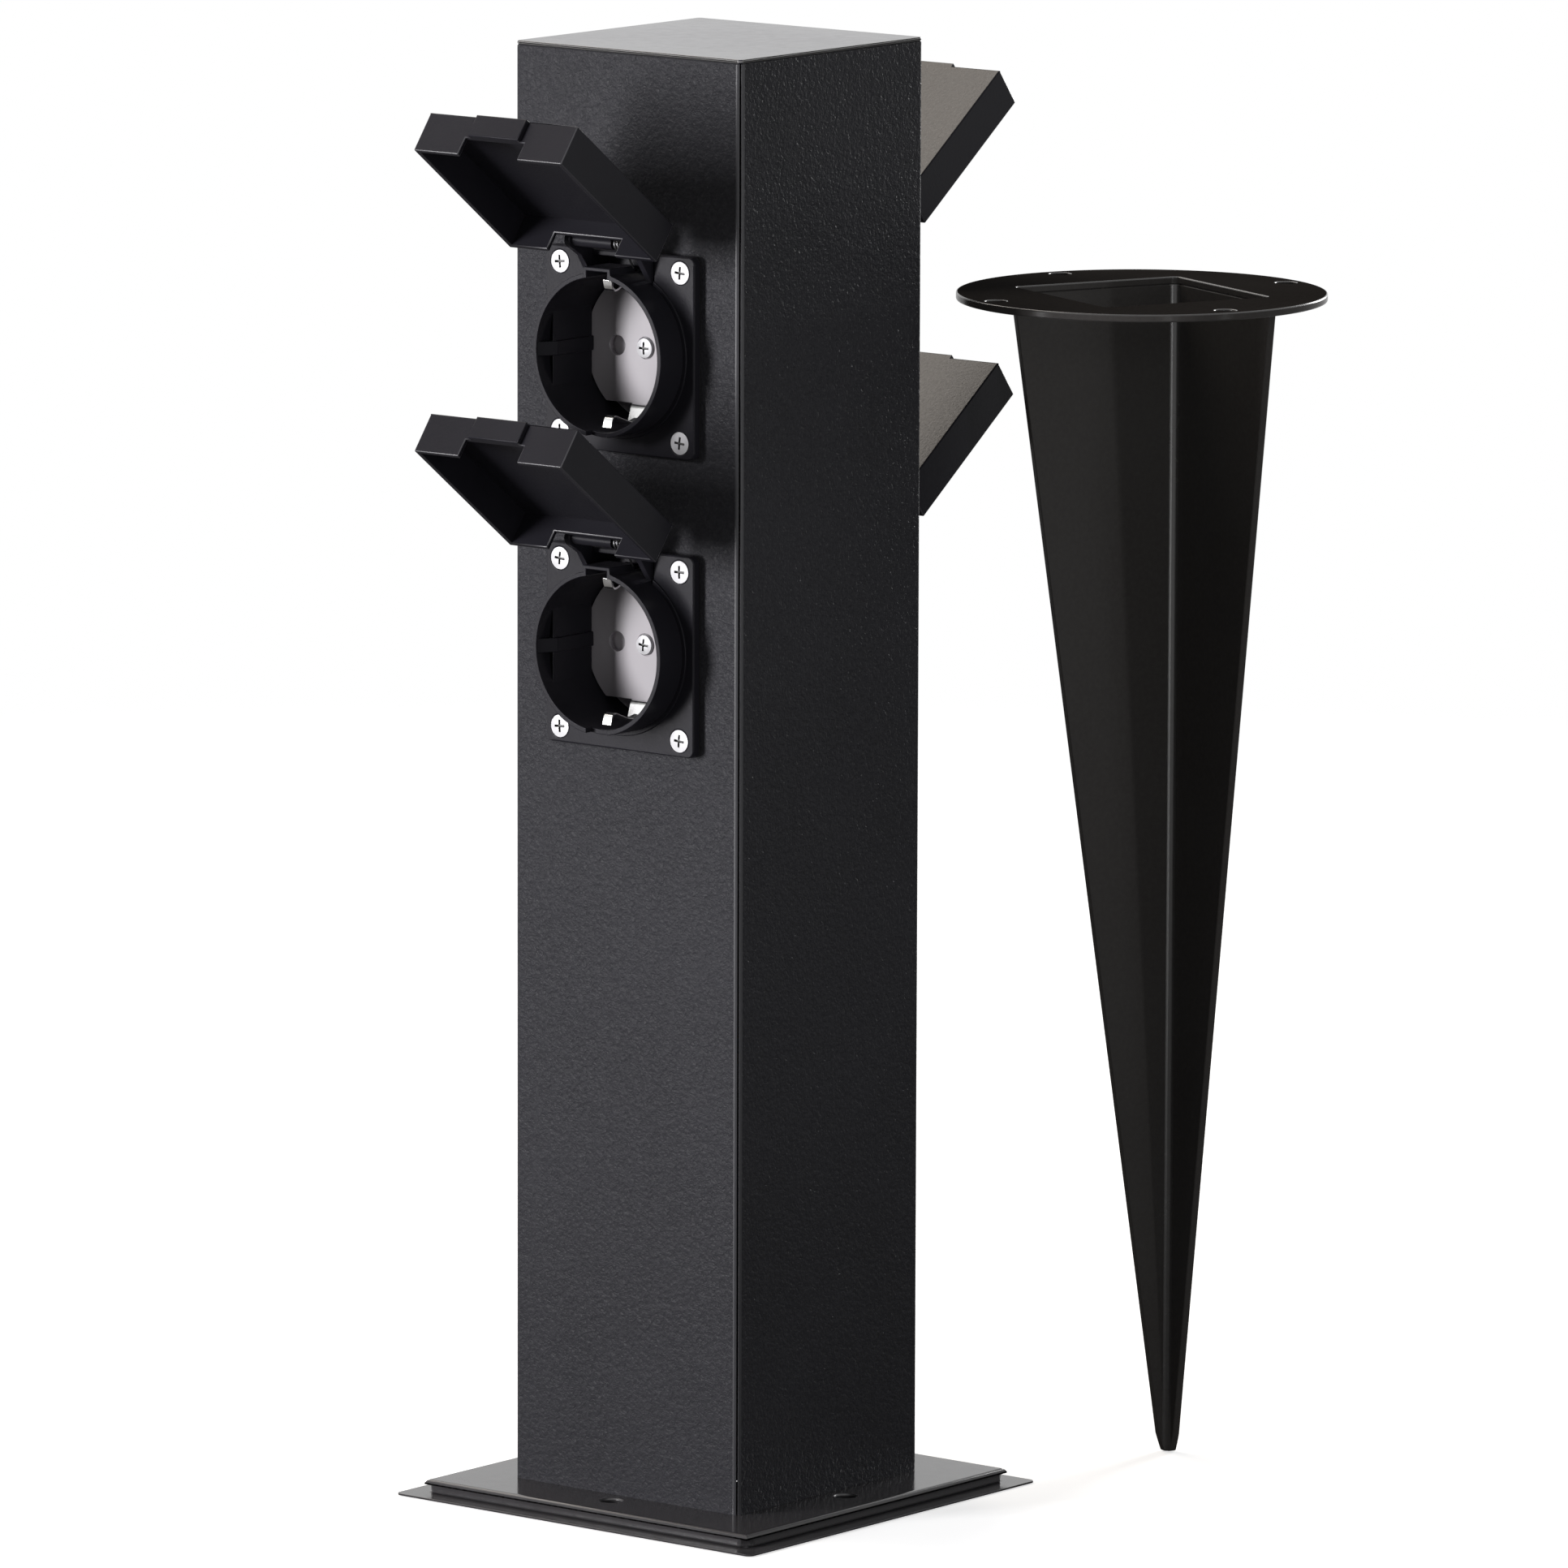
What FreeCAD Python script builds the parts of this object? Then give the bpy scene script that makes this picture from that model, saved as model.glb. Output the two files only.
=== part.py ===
import FreeCAD, Part
import math
import os

V = FreeCAD.Vector
os.makedirs("parts", exist_ok=True)

# Garden power column with four hinged-lid sockets, its base and its ground spike.
# Millimetres, +Z up. Origin: column axis at floor level. The front faces -Y.

# Column, folded from steel sheet
column_side = 75.0
column_wall = 1.5
column_height = 378.2
corner_radius = 1.2
seam_gap = 0.5
seam_edge_radius = 0.45
edge_break = 0.3

# Cap on the column
cap_thickness = 1.0
cap_skirt_height = 6.0
cap_skirt_wall = 1.2
cap_clearance = 0.15

# Base: a thin plate under a folded pan
plate_side = 120.0
plate_thickness = 0.5
plate_corner_radius = 2.0
pan_side = 109.0
pan_height = 3.5
pan_sheet = 1.5
pan_corner_slot = 2.6
bolt_circle_radius = 43.5
bolt_hole_radius = 2.75
cable_hole_radius = 11.0

# Ground spike, an angle section under a round flange
spike_flange_radius = 48.5
spike_flange_thickness = 2.0
spike_leg_width = 51.0
spike_sheet = 2.0
spike_bend_radius = 4.0
spike_tip_width = 1.6
spike_height = 315.5
spike_turn = -22.9
spike_place_x = 75.4
spike_place_y = 82.0

# Where the sockets sit, measured down from the column's top
upper_socket_drop = 76.8
socket_pitch = 77.4

# Socket frame: flange, round cup and hinge ears
flange_width = 49.4
flange_height = 52.4
flange_thickness = 2.5
flange_corner_radius = 2.0
gasket_thickness = 0.5
gasket_inset = 0.2
gasket_corner_cut = 1.2
cup_outer_radius = 21.4
cup_inner_radius = 20.1
cup_front_height = 9.4
cup_back_depth = 16.5
bead_width = 1.1
bead_height = 0.5
side_flat_x = 17.7
side_flat_setback = 4.0
crescent_depth = 6.0
crescent_wall = 0.4
rib_half_height = 1.9
rib_x = 17.1
rib_setback = 0.6
key_half_width = 3.4
key_wall = 1.0
key_top = 22.7
latch_slot_depth = 2.3
pocket_half_width = 11.4
pocket_top = 24.6
pocket_depth = 6.5
pocket_wall = 0.8
body_hole_clearance = 0.3

# Flange screws
flange_screw_x = 20.0
flange_screw_z = 22.0
flange_screw_head_radius = 3.05
flange_screw_proud = 0.15
flange_screw_radius = 1.5
flange_screw_length = 9.0
screw_clearance = 0.1

# Hinge of the lid
pivot_out = 7.2
pivot_up = 29.1
open_angle = 126.8
pin_radius = 0.8
pin_fit = 0.03
knuckle_clearance = 0.09
ear_inner_x = 9.0
ear_thickness = 1.9
ear_radius = 2.2
knuckle_radius = 1.6
knuckle_left = -8.7
knuckle_right = 4.2

# Lid, a shallow box
lid_width = 48.8
lid_bottom = -23.1
lid_top = 24.55
lid_depth = 11.3
lid_rim_gap = 0.6
lid_wall = 1.3
lid_panel = 2.0
lid_edge_radius = 0.4
hinge_notch_half_width = 11.2
latch_notch_half_width = 9.8
notch_depth = 5.0
thumb_half_width = 8.3
thumb_proud = 1.2
tongue_thickness = 1.4
tongue_front_gap = 0.6

# Torsion spring on the hinge pin
wire_radius = 0.275
bar_sides = 6
coil_radius = 1.75
coil_pitch = 1.05
coil_turns = 3
coil_left = 5.2
spring_foot = 2.2
spring_gap = 0.35

# Insert with the pin holes
insert_depth = 20.0
insert_thickness = 5.8
insert_clearance = 0.3
insert_front_step = 3.4
insert_flat_z = 14.7
insert_tongue_half = 4.6
pin_spacing = 19.0
pin_hole_radius = 2.6
insert_front_wall = 1.7
insert_screw_head_radius = 2.8
insert_screw_head_height = 1.4
insert_screw_seat = 0.4
insert_screw_radius = 1.5
insert_screw_length = 16.0

# Shutter behind the pin holes
shutter_thickness = 1.5
shutter_hub_radius = 3.4
shutter_arm_half = 3.1
shutter_radius = 12.6
shutter_gap = 0.4
shutter_turn = 38.0

# Housing, contacts and earth clip
housing_radius = 21.2
housing_back = 9.0
housing_seat = 0.1
boss_radius = 3.4
contact_radius = 3.0
contact_bore = 2.35
contact_back = 12.0
contact_front = 25.4
contact_slit = 0.6
contact_clearance = 0.3
clip_width = 4.0
clip_thickness = 0.8
clip_half_height = 18.4
clip_back = 20.0
clip_clearance = 0.3
clip_ring_radius = 5.2
clip_apron_half_width = 4.2
clip_apron_inner = 15.2
clip_apron_outer = 19.3
clip_apron_thickness = 0.6

# Wiring
wire_outer_radius = 1.2
wire_bend_radius = 6.0
feed_height = 10.0
cross_height = -3.4
conductor_x = {"neutral_wire": -9.5, "earth_wire": 0.0, "live_wire": 9.5}

# Terminal block on the base
block_length = 36.0
block_depth = 14.0
block_height = 18.0
block_centre_y = 20.5
terminal_screw_radius = 2.0
terminal_screw_length = 4.0
terminal_well_depth = 7.0

# Sizes that follow from the ones above, measured outwards from the column axis
face = column_side / 2
column_inner = face - column_wall
column_bottom = plate_thickness + pan_height
column_top = column_bottom + column_height
upper_socket_z = column_top - upper_socket_drop
lower_socket_z = upper_socket_z - socket_pitch
flange_back = face + gasket_thickness
flange_front = flange_back + flange_thickness
cup_front = flange_front + cup_front_height
cup_back = flange_front - cup_back_depth
insert_front = cup_front - insert_depth
insert_back = insert_front - insert_thickness
insert_radius = cup_inner_radius - insert_clearance
side_flat_back = insert_front + insert_clearance
side_flat_front = cup_front - side_flat_setback
pin_x = pin_spacing / 2
pivot = flange_front + pivot_out
ear_outer_x = ear_inner_x + ear_thickness
lid_rim = flange_front + lid_rim_gap
lid_front = lid_rim + lid_depth
shutter_front = insert_front - insert_front_wall - insert_clearance
shutter_back = shutter_front - shutter_thickness
housing_front = cup_back - housing_seat
spike_opening = spike_leg_width - spike_sheet


def box(x0, x1, out0, out1, z0, z1):
    return Part.makeBox(x1 - x0, out1 - out0, z1 - z0, V(x0, -out1, z0))


def post(radius, out0, out1, x=0.0, z=0.0):
    return Part.makeCylinder(radius, out1 - out0, V(x, -out0, z), V(0, -1, 0))


def rod(radius, x0, x1, out, z):
    return Part.makeCylinder(radius, x1 - x0, V(x0, -out, z), V(1, 0, 0))


def upright(radius, z0, z1, x=0.0, y=0.0):
    return Part.makeCylinder(radius, z1 - z0, V(x, y, z0))


def side_plate(points, x0, x1):
    """A flat plate drawn from (outwards, up) points and given a thickness along X."""
    corners = [V(x0, -out, z) for out, z in points]
    face_shape = Part.Face(Part.makePolygon(corners + corners[:1]))
    return face_shape.extrude(V(x1 - x0, 0, 0))


def edges_where(shape, test):
    return [edge for edge in shape.Edges if test(edge)]


def along(edge, axis):
    if not isinstance(edge.Curve, Part.Line):
        return False
    direction = edge.tangentAt(edge.FirstParameter)
    return abs(abs(direction.dot(axis)) - 1) < 1e-6


def turned_square(size, height, bottom):
    """A square block whose corners lie on the X and Y axes."""
    block = Part.makeBox(size, size, height, V(-size / 2, -size / 2, bottom))
    block.rotate(V(0, 0, 0), V(0, 0, 1), 45)
    return block


def place(shape, rear, height):
    """Moves a socket piece to its height, on the front or the rear of the column."""
    placed = shape.copy()
    if rear:
        placed.rotate(V(0, 0, 0), V(0, 0, 1), 180)
    placed.translate(V(0, 0, height))
    return placed


def opened(shape):
    """Turns a piece of the lid about its hinge from closed to open."""
    turned = shape.copy()
    turned.rotate(V(0, -pivot, pivot_up), V(1, 0, 0), -open_angle)
    return turned


def save(node, shape):
    shape.exportStep(f"parts/{node}.step")
    print(node, "solids", len(shape.Solids), "valid", shape.isValid(), "volume", round(shape.Volume, 2))


sockets = {
    "front_upper": (False, upper_socket_z),
    "front_lower": (False, lower_socket_z),
    "rear_upper": (True, upper_socket_z),
    "rear_lower": (True, lower_socket_z),
}


# Column, cap and base

def socket_cutout():
    """The hole behind one socket: round for the cup, square for the hinge pocket, and its screw holes."""
    outside = face + 1
    inside = column_inner - 1
    hole = post(cup_outer_radius + body_hole_clearance, inside, outside)
    half = pocket_half_width + pocket_wall + body_hole_clearance
    top = pocket_top + pocket_wall + body_hole_clearance
    hole = hole.fuse(box(-half, half, inside, outside, 0, top))
    for x in (-flange_screw_x, flange_screw_x):
        for z in (-flange_screw_z, flange_screw_z):
            hole = hole.fuse(post(flange_screw_radius + screw_clearance, inside, outside, x, z))
    return hole


def make_column():
    z_axis = V(0, 0, 1)
    tube = Part.makeBox(column_side, column_side, column_height, V(-face, -face, column_bottom))
    rounded = edges_where(tube, lambda e: along(e, z_axis) and not at_seam(e))
    tube = tube.makeFillet(corner_radius, rounded)
    bore = Part.makeBox(2 * column_inner, 2 * column_inner, column_height,
                        V(-column_inner, -column_inner, column_bottom))
    tube = tube.cut(bore)
    seam = Part.makeBox(4 * column_wall, seam_gap, column_height, V(-2 * column_wall, -seam_gap / 2, 0))
    seam.rotate(V(0, 0, 0), z_axis, -45)
    seam.translate(V(face, -face, column_bottom))
    tube = tube.cut(seam)
    lips = edges_where(tube, lambda e: along(e, z_axis) and at_seam(e))
    tube = tube.makeFillet(seam_edge_radius, lips)
    top_edges = edges_where(tube, lambda e: abs(e.BoundBox.ZMin - column_top) < 1e-6
                            and abs(e.BoundBox.ZMax - column_top) < 1e-6 and on_outside(e))
    tube = tube.makeChamfer(edge_break, top_edges)
    for rear, height in sockets.values():
        tube = tube.cut(place(socket_cutout(), rear, height))
    return tube


def at_seam(edge):
    middle = edge.CenterOfMass
    return math.hypot(middle.x - face, middle.y + face) < seam_gap


def on_outside(edge):
    middle = edge.CenterOfMass
    straight = isinstance(edge.Curve, Part.Line)
    return straight and max(abs(middle.x), abs(middle.y)) > face - 1e-6


def make_cap():
    plate = Part.makeBox(column_side, column_side, cap_thickness, V(-face, -face, column_top))
    upright_edges = edges_where(plate, lambda e: along(e, V(0, 0, 1)))
    plate = plate.makeFillet(corner_radius, upright_edges)
    rims = edges_where(plate, lambda e: abs(e.BoundBox.ZMin - e.BoundBox.ZMax) < 1e-6)
    plate = plate.makeChamfer(edge_break, rims)
    outer = column_inner - cap_clearance
    inner = outer - cap_skirt_wall
    bottom = column_top - cap_skirt_height
    skirt = Part.makeBox(2 * outer, 2 * outer, cap_skirt_height, V(-outer, -outer, bottom))
    skirt = skirt.cut(Part.makeBox(2 * inner, 2 * inner, cap_skirt_height, V(-inner, -inner, bottom)))
    return plate.fuse(skirt).removeSplitter()


def bolt_circle(radius, hole_radius, z0, z1):
    holes = []
    for quarter in range(4):
        angle = math.radians(90 * quarter)
        holes.append(upright(hole_radius, z0, z1, radius * math.cos(angle), radius * math.sin(angle)))
    return Part.makeCompound(holes)


def make_plate():
    half = plate_side / 2
    plate = Part.makeBox(plate_side, plate_side, plate_thickness, V(-half, -half, 0))
    plate = plate.makeFillet(plate_corner_radius, edges_where(plate, lambda e: along(e, V(0, 0, 1))))
    plate = plate.cut(upright(cable_hole_radius, 0, plate_thickness))
    return plate.cut(bolt_circle(bolt_circle_radius, bolt_hole_radius, 0, plate_thickness))


def make_pan():
    half = pan_side / 2
    top = column_bottom
    pan = Part.makeBox(pan_side, pan_side, pan_height, V(-half, -half, plate_thickness))
    bends = edges_where(pan, lambda e: abs(e.BoundBox.ZMin - top) < 1e-6)
    pan = pan.makeFillet(pan_sheet, bends)
    inner = half - pan_sheet
    hollow_height = pan_height - pan_sheet
    pan = pan.cut(Part.makeBox(2 * inner, 2 * inner, hollow_height, V(-inner, -inner, plate_thickness)))
    slot = turned_square(pan_corner_slot * math.sqrt(2), hollow_height, plate_thickness)
    for x in (-half, half):
        for y in (-half, half):
            corner = slot.copy()
            corner.translate(V(x, y, 0))
            pan = pan.cut(corner)
    pan = pan.cut(upright(cable_hole_radius, plate_thickness, top))
    return pan.cut(bolt_circle(bolt_circle_radius, bolt_hole_radius, plate_thickness, top))


# Ground spike

def place_spike(shape):
    shape.rotate(V(0, 0, 0), V(0, 0, 1), spike_turn)
    shape.translate(V(spike_place_x, spike_place_y, 0))
    return shape


def make_spike_flange():
    bottom = spike_height - spike_flange_thickness
    disc = upright(spike_flange_radius, bottom, spike_height)
    half = spike_opening / 2
    window = Part.makeBox(spike_opening, spike_opening, spike_flange_thickness, V(-half, -half, bottom))
    corners = edges_where(window, lambda e: along(e, V(0, 0, 1)))
    window = window.makeFillet(spike_bend_radius - spike_sheet, corners)
    disc = disc.cut(window)
    disc = disc.cut(bolt_circle(bolt_circle_radius, bolt_hole_radius, bottom, spike_height))
    return place_spike(disc)


def make_spike_body():
    """An angle section whose two legs taper to a rounded tip under its bend."""
    length = spike_height - spike_flange_thickness
    section = Part.makeBox(spike_leg_width, spike_leg_width, length)
    bend = edges_where(section, lambda e: along(e, V(0, 0, 1)) and e.CenterOfMass.x < 1 and e.CenterOfMass.y < 1)
    section = section.makeFillet(spike_bend_radius, bend)
    hollow = Part.makeBox(spike_leg_width, spike_leg_width, length, V(spike_sheet, spike_sheet, 0))
    inner = edges_where(hollow, lambda e: along(e, V(0, 0, 1)) and e.CenterOfMass.x < 3 and e.CenterOfMass.y < 3)
    hollow = hollow.makeFillet(spike_bend_radius - spike_sheet, inner)
    section = section.cut(hollow)
    taper_start = 3 * spike_tip_width
    widths = [(0, 2 * spike_tip_width), (taper_start, 3 * spike_tip_width), (length, spike_leg_width)]
    squares = []
    for height, width in widths:
        corners = [V(-1, -1, height), V(width, -1, height), V(width, width, height), V(-1, width, height)]
        squares.append(Part.makePolygon(corners + corners[:1]))
    leg = section.common(Part.makeLoft(squares, True, True))
    leg.rotate(V(0, 0, 0), V(0, 0, 1), -90)
    corner = spike_leg_width - spike_opening / 2
    leg.translate(V(-corner, corner, 0))
    return place_spike(leg)


# Socket pieces, drawn with the lid's face pointing to -Y and the socket's centre at height 0

def make_frame():
    half_width = flange_width / 2
    half_height = flange_height / 2
    flange = box(-half_width, half_width, flange_back, flange_front, -half_height, half_height)
    corners = edges_where(flange, lambda e: along(e, V(0, 1, 0)))
    flange = flange.makeFillet(flange_corner_radius, corners)
    front_edges = edges_where(flange, lambda e: abs(e.BoundBox.YMax + flange_front) < 1e-6)
    flange = flange.makeChamfer(edge_break, front_edges)

    pocket_back = flange_front - pocket_depth
    outer = pocket_half_width + pocket_wall
    pocket_box = box(-outer, outer, pocket_back - pocket_wall, flange_back, cup_inner_radius - 2,
                     pocket_top + pocket_wall)
    cup = post(cup_outer_radius, cup_back, cup_front)
    bead = post(cup_outer_radius + bead_width, flange_front - 1, flange_front + bead_height)
    key_outer = key_half_width + key_wall
    key = box(-key_outer, key_outer, flange_front - 1, cup_front, cup_inner_radius - 2, key_top)
    pocket = box(-pocket_half_width, pocket_half_width, pocket_back, cup_front, cup_inner_radius - 2, pocket_top)
    pocket = pocket.cut(cup).cut(key)
    frame = flange.fuse([pocket_box, bead]).cut(pocket).fuse([cup, key, ear(-ear_outer_x), ear(ear_inner_x)])

    frame = frame.cut(cup_bore())
    for x in (-flange_screw_x, flange_screw_x):
        for z in (-flange_screw_z, flange_screw_z):
            frame = frame.cut(screw_seat(x, z))
    return frame.removeSplitter()


def cup_bore():
    """The recess: round at its mouth, with side flats, side ribs, a key groove and a latch slot."""
    bore = post(cup_inner_radius, cup_back, cup_front)
    for side in (-1, 1):
        flat = side_block(side, side_flat_x, side_flat_back, side_flat_front, cup_outer_radius)
        pocket_back = side_flat_front - crescent_depth
        crescent = side_block(side, side_flat_x + crescent_wall, pocket_back, side_flat_front, cup_outer_radius)
        rib = side_block(side, rib_x, side_flat_back, cup_front - rib_setback, rib_half_height)
        bore = bore.cut(flat.cut(crescent)).cut(rib)
    groove_back = side_flat_back
    groove = box(-key_half_width, key_half_width, groove_back, cup_front, 0, key_top - key_wall)
    slot_bottom = -cup_outer_radius - 1
    slot = box(-key_half_width, key_half_width, cup_front - latch_slot_depth, cup_front, slot_bottom, 0)
    return bore.fuse([groove, slot])


def side_block(side, x, out0, out1, half_height):
    x0, x1 = sorted((side * x, side * cup_outer_radius))
    return box(x0, x1, out0, out1, -half_height, half_height)


def ear(x0):
    """A horn that leaves the flange above the lid's end wall and holds the hinge pin."""
    foot = cup_outer_radius - 2.7
    root = flange_front - pocket_depth
    throat_out = pivot - 2.8
    throat_up = lid_top + spring_gap
    crown = flange_height / 2
    right = tangent_point(throat_out, throat_up, ear_radius, 1)
    left = tangent_point(flange_front, crown, ear_radius, -1)
    shelf = pocket_top + pocket_wall
    outline = [(root, foot), (flange_front, foot), (throat_out, throat_up), right, left,
               (flange_front, crown), (flange_back, shelf), (root, shelf)]
    horn = side_plate(outline, x0, x0 + ear_thickness)
    horn = horn.fuse(rod(ear_radius, x0, x0 + ear_thickness, pivot, pivot_up))
    return horn.cut(rod(pin_radius + pin_fit, x0, x0 + ear_thickness, pivot, pivot_up))


def tangent_point(out, up, radius, side):
    """Where a line from a point touches a circle round the hinge pin."""
    reach = math.hypot(pivot - out, pivot_up - up)
    to_point = math.atan2(up - pivot_up, out - pivot)
    swing = side * math.acos(radius / reach)
    return (pivot + radius * math.cos(to_point + swing), pivot_up + radius * math.sin(to_point + swing))


def screw_seat(x, z):
    hole = post(flange_screw_radius + screw_clearance, flange_back - 1, flange_front + 1, x, z)
    sink = flange_screw_head_radius - flange_screw_radius
    cone = Part.makeCone(flange_screw_radius + screw_clearance, flange_screw_head_radius + screw_clearance, sink,
                         V(x, -(flange_front - sink), z), V(0, -1, 0))
    return hole.fuse(cone)


def make_flange_screw(x, z):
    """A countersunk screw that stands a little proud of the flange."""
    sink = flange_screw_head_radius - flange_screw_radius
    seat = flange_front - sink + flange_screw_proud
    head = Part.makeCone(flange_screw_radius, flange_screw_head_radius, sink, V(x, -seat, z), V(0, -1, 0))
    return head.fuse(post(flange_screw_radius, seat + sink - flange_screw_length, seat, x, z))


def make_gasket():
    half_width = flange_width / 2 - gasket_inset
    half_height = flange_height / 2 - gasket_inset
    gasket = box(-half_width, half_width, face, flange_back, -half_height, half_height)
    gasket = gasket.makeChamfer(gasket_corner_cut, edges_where(gasket, lambda e: along(e, V(0, 1, 0))))
    return gasket.cut(socket_cutout())


def make_insert():
    step = insert_front - insert_front_step
    disc = post(insert_radius, insert_back, insert_front)
    for z0, z1 in ((insert_flat_z, insert_radius), (-insert_radius, -insert_flat_z)):
        disc = disc.cut(box(-insert_radius, -insert_tongue_half, step, insert_front, z0, z1))
        disc = disc.cut(box(insert_tongue_half, insert_radius, step, insert_front, z0, z1))
    cavity_radius = shutter_radius + shutter_gap
    disc = disc.cut(post(cavity_radius, insert_back, insert_front - insert_front_wall))
    for x in (-pin_x, pin_x):
        disc = disc.cut(post(pin_hole_radius, insert_back, insert_front, x))
    disc = disc.cut(post(insert_screw_radius + screw_clearance, insert_back, insert_front))
    seat = insert_front - insert_screw_seat
    disc = disc.cut(post(insert_screw_head_radius + screw_clearance, seat, insert_front))
    half = clip_width / 2 + clip_clearance
    inner = clip_half_height - clip_thickness - clip_clearance
    for z0, z1 in ((inner, insert_radius), (-insert_radius, -inner)):
        disc = disc.cut(box(-half, half, insert_back, insert_front, z0, z1))
    return disc


def make_insert_screw():
    head_back = insert_front - insert_screw_seat
    head = post(insert_screw_head_radius, head_back, head_back + insert_screw_head_height)
    return head.fuse(post(insert_screw_radius, head_back - insert_screw_length, head_back))


def make_shutter():
    hub = post(shutter_hub_radius, shutter_back, shutter_front)
    arm = box(-shutter_radius, shutter_radius, shutter_back, shutter_front, -shutter_arm_half, shutter_arm_half)
    arm = arm.common(post(shutter_radius, shutter_back, shutter_front))
    return hub.fuse(arm).cut(post(insert_screw_radius + screw_clearance, shutter_back, shutter_front))


def make_housing():
    housing = post(housing_radius, housing_back, housing_front)
    boss_front = shutter_back - insert_clearance
    housing = housing.fuse(post(boss_radius, housing_front, boss_front))
    for x in (-pin_x, pin_x):
        housing = housing.cut(post(contact_radius + contact_clearance, contact_back, housing_front, x))
    half = clip_width / 2 + clip_clearance
    reach = clip_half_height + clip_clearance
    seat = clip_back - clip_clearance
    nest = box(-half, half, seat, housing_front, -reach, reach)
    nest = nest.fuse(post(clip_ring_radius + clip_clearance, seat, housing_front))
    housing = housing.cut(nest.cut(post(boss_radius, seat, housing_front)))
    screw_end = insert_front - insert_screw_seat - insert_screw_length
    housing = housing.cut(post(insert_screw_radius + screw_clearance, screw_end - screw_clearance, boss_front))
    return housing


def make_contacts():
    """A pair of slit sleeves that grip the plug's pins."""
    sleeves = []
    for x in (-pin_x, pin_x):
        bore_back = contact_back + contact_radius
        sleeve = post(contact_radius, contact_back + contact_clearance, contact_front, x)
        sleeve = sleeve.cut(post(contact_bore, bore_back, contact_front, x))
        slit = box(x - contact_slit / 2, x + contact_slit / 2, bore_back + contact_radius, contact_front,
                   -contact_radius, contact_radius)
        sleeves.append(sleeve.cut(slit))
    return Part.makeCompound(sleeves)


def make_earth_clip():
    """A web behind the insert and two sprung legs that reach into the recess, each with an apron on the insert."""
    thickness = clip_thickness
    outer = clip_half_height
    line = [(clip_back, outer), (insert_front + 1.5, outer), (insert_front + 7, outer - 1.9),
            (cup_front - 6.0, outer + 0.6), (cup_front - 4.6, outer + 0.3), (cup_front - 4.2, outer - 1.4)]
    under = [(cup_front - 4.2 - thickness, outer - 1.4), (cup_front - 5.4, outer + 0.3 - thickness),
             (cup_front - 6.0, outer + 0.6 - thickness), (insert_front + 7, outer - 1.9 - thickness),
             (insert_front + 1.5, outer - thickness), (clip_back + thickness, outer - thickness)]
    upper = line + under
    lower = [(out, -up) for out, up in reversed(upper)]
    x0 = -clip_width / 2
    strip = side_plate(upper + lower, x0, x0 + clip_width)
    apron_back = insert_front + clip_clearance
    apron_front = apron_back + clip_apron_thickness
    half = clip_apron_half_width
    aprons = [box(-half, half, apron_back, apron_front, clip_apron_inner, clip_apron_outer),
              box(-half, half, apron_back, apron_front, -clip_apron_outer, -clip_apron_inner)]
    strip = strip.fuse(aprons + [post(clip_ring_radius, clip_back, clip_back + thickness)])
    hole = post(boss_radius + clip_clearance, clip_back, clip_back + thickness)
    return strip.cut(hole).removeSplitter()


# Lid, hinge pin and torsion spring

def make_lid():
    half = lid_width / 2
    shell = box(-half, half, lid_rim, lid_front, lid_bottom, lid_top)
    outer_edges = edges_where(shell, lambda e: abs(e.BoundBox.YMax + lid_rim) > 1e-6)
    shell = shell.makeFillet(lid_edge_radius, outer_edges)
    thumb = box(-thumb_half_width, thumb_half_width, lid_rim + notch_depth, lid_front,
                lid_bottom - thumb_proud, lid_bottom + lid_wall)
    thumb = thumb.makeFillet(lid_edge_radius, edges_where(thumb, lambda e: e.BoundBox.ZMax < lid_bottom))
    tongue_front = pivot + coil_radius - tongue_front_gap
    tongue = box(knuckle_left, knuckle_right, tongue_front - tongue_thickness, tongue_front,
                 lid_top - lid_wall, pivot_up)
    knuckle = rod(knuckle_radius, knuckle_left, knuckle_right, pivot, pivot_up)
    shell = shell.fuse([thumb, tongue, knuckle])
    inner = half - lid_wall
    shell = shell.cut(box(-inner, inner, lid_rim, lid_front - lid_panel, lid_bottom + lid_wall, lid_top - lid_wall))
    notch_out = lid_rim + notch_depth
    shell = shell.cut(box(-hinge_notch_half_width, hinge_notch_half_width, lid_rim, notch_out,
                          lid_top - lid_wall, lid_top))
    shell = shell.cut(box(-latch_notch_half_width, latch_notch_half_width, lid_rim, notch_out,
                          lid_bottom, lid_bottom + lid_wall))
    shell = shell.cut(rod(pin_radius + knuckle_clearance, knuckle_left, knuckle_right, pivot, pivot_up))
    return opened(shell.removeSplitter())


def make_hinge_pin():
    return rod(pin_radius, -ear_outer_x, ear_outer_x, pivot, pivot_up)


def arc_edges(start, start_dir, end, end_dir):
    """Two arcs that leave one point along one direction and reach the other along its own."""
    chord = end - start
    total = start_dir + end_dir
    dot = start_dir.dot(end_dir)
    gap = chord.dot(total)
    root = math.sqrt(gap * gap + 2 * (1 - dot) * chord.dot(chord))
    reach = (root - gap) / (2 * (1 - dot))
    first = start + start_dir * reach
    last = end - end_dir * reach
    joint = (first + last) * 0.5
    return [one_arc(start, first, joint), one_arc(joint, last, end)]


def one_arc(start, apex, end):
    middle = (start + end) * 0.5
    rise = apex - middle
    half_chord = (end - start).Length / 2
    sagitta = half_chord * math.tan(math.atan2(rise.Length, half_chord) / 2)
    return Part.Arc(start, middle + rise.normalize() * sagitta, end).toShape()


def coil_point(angle, x):
    return V(x, -(pivot + coil_radius * math.cos(angle)), pivot_up + coil_radius * math.sin(angle))


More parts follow.
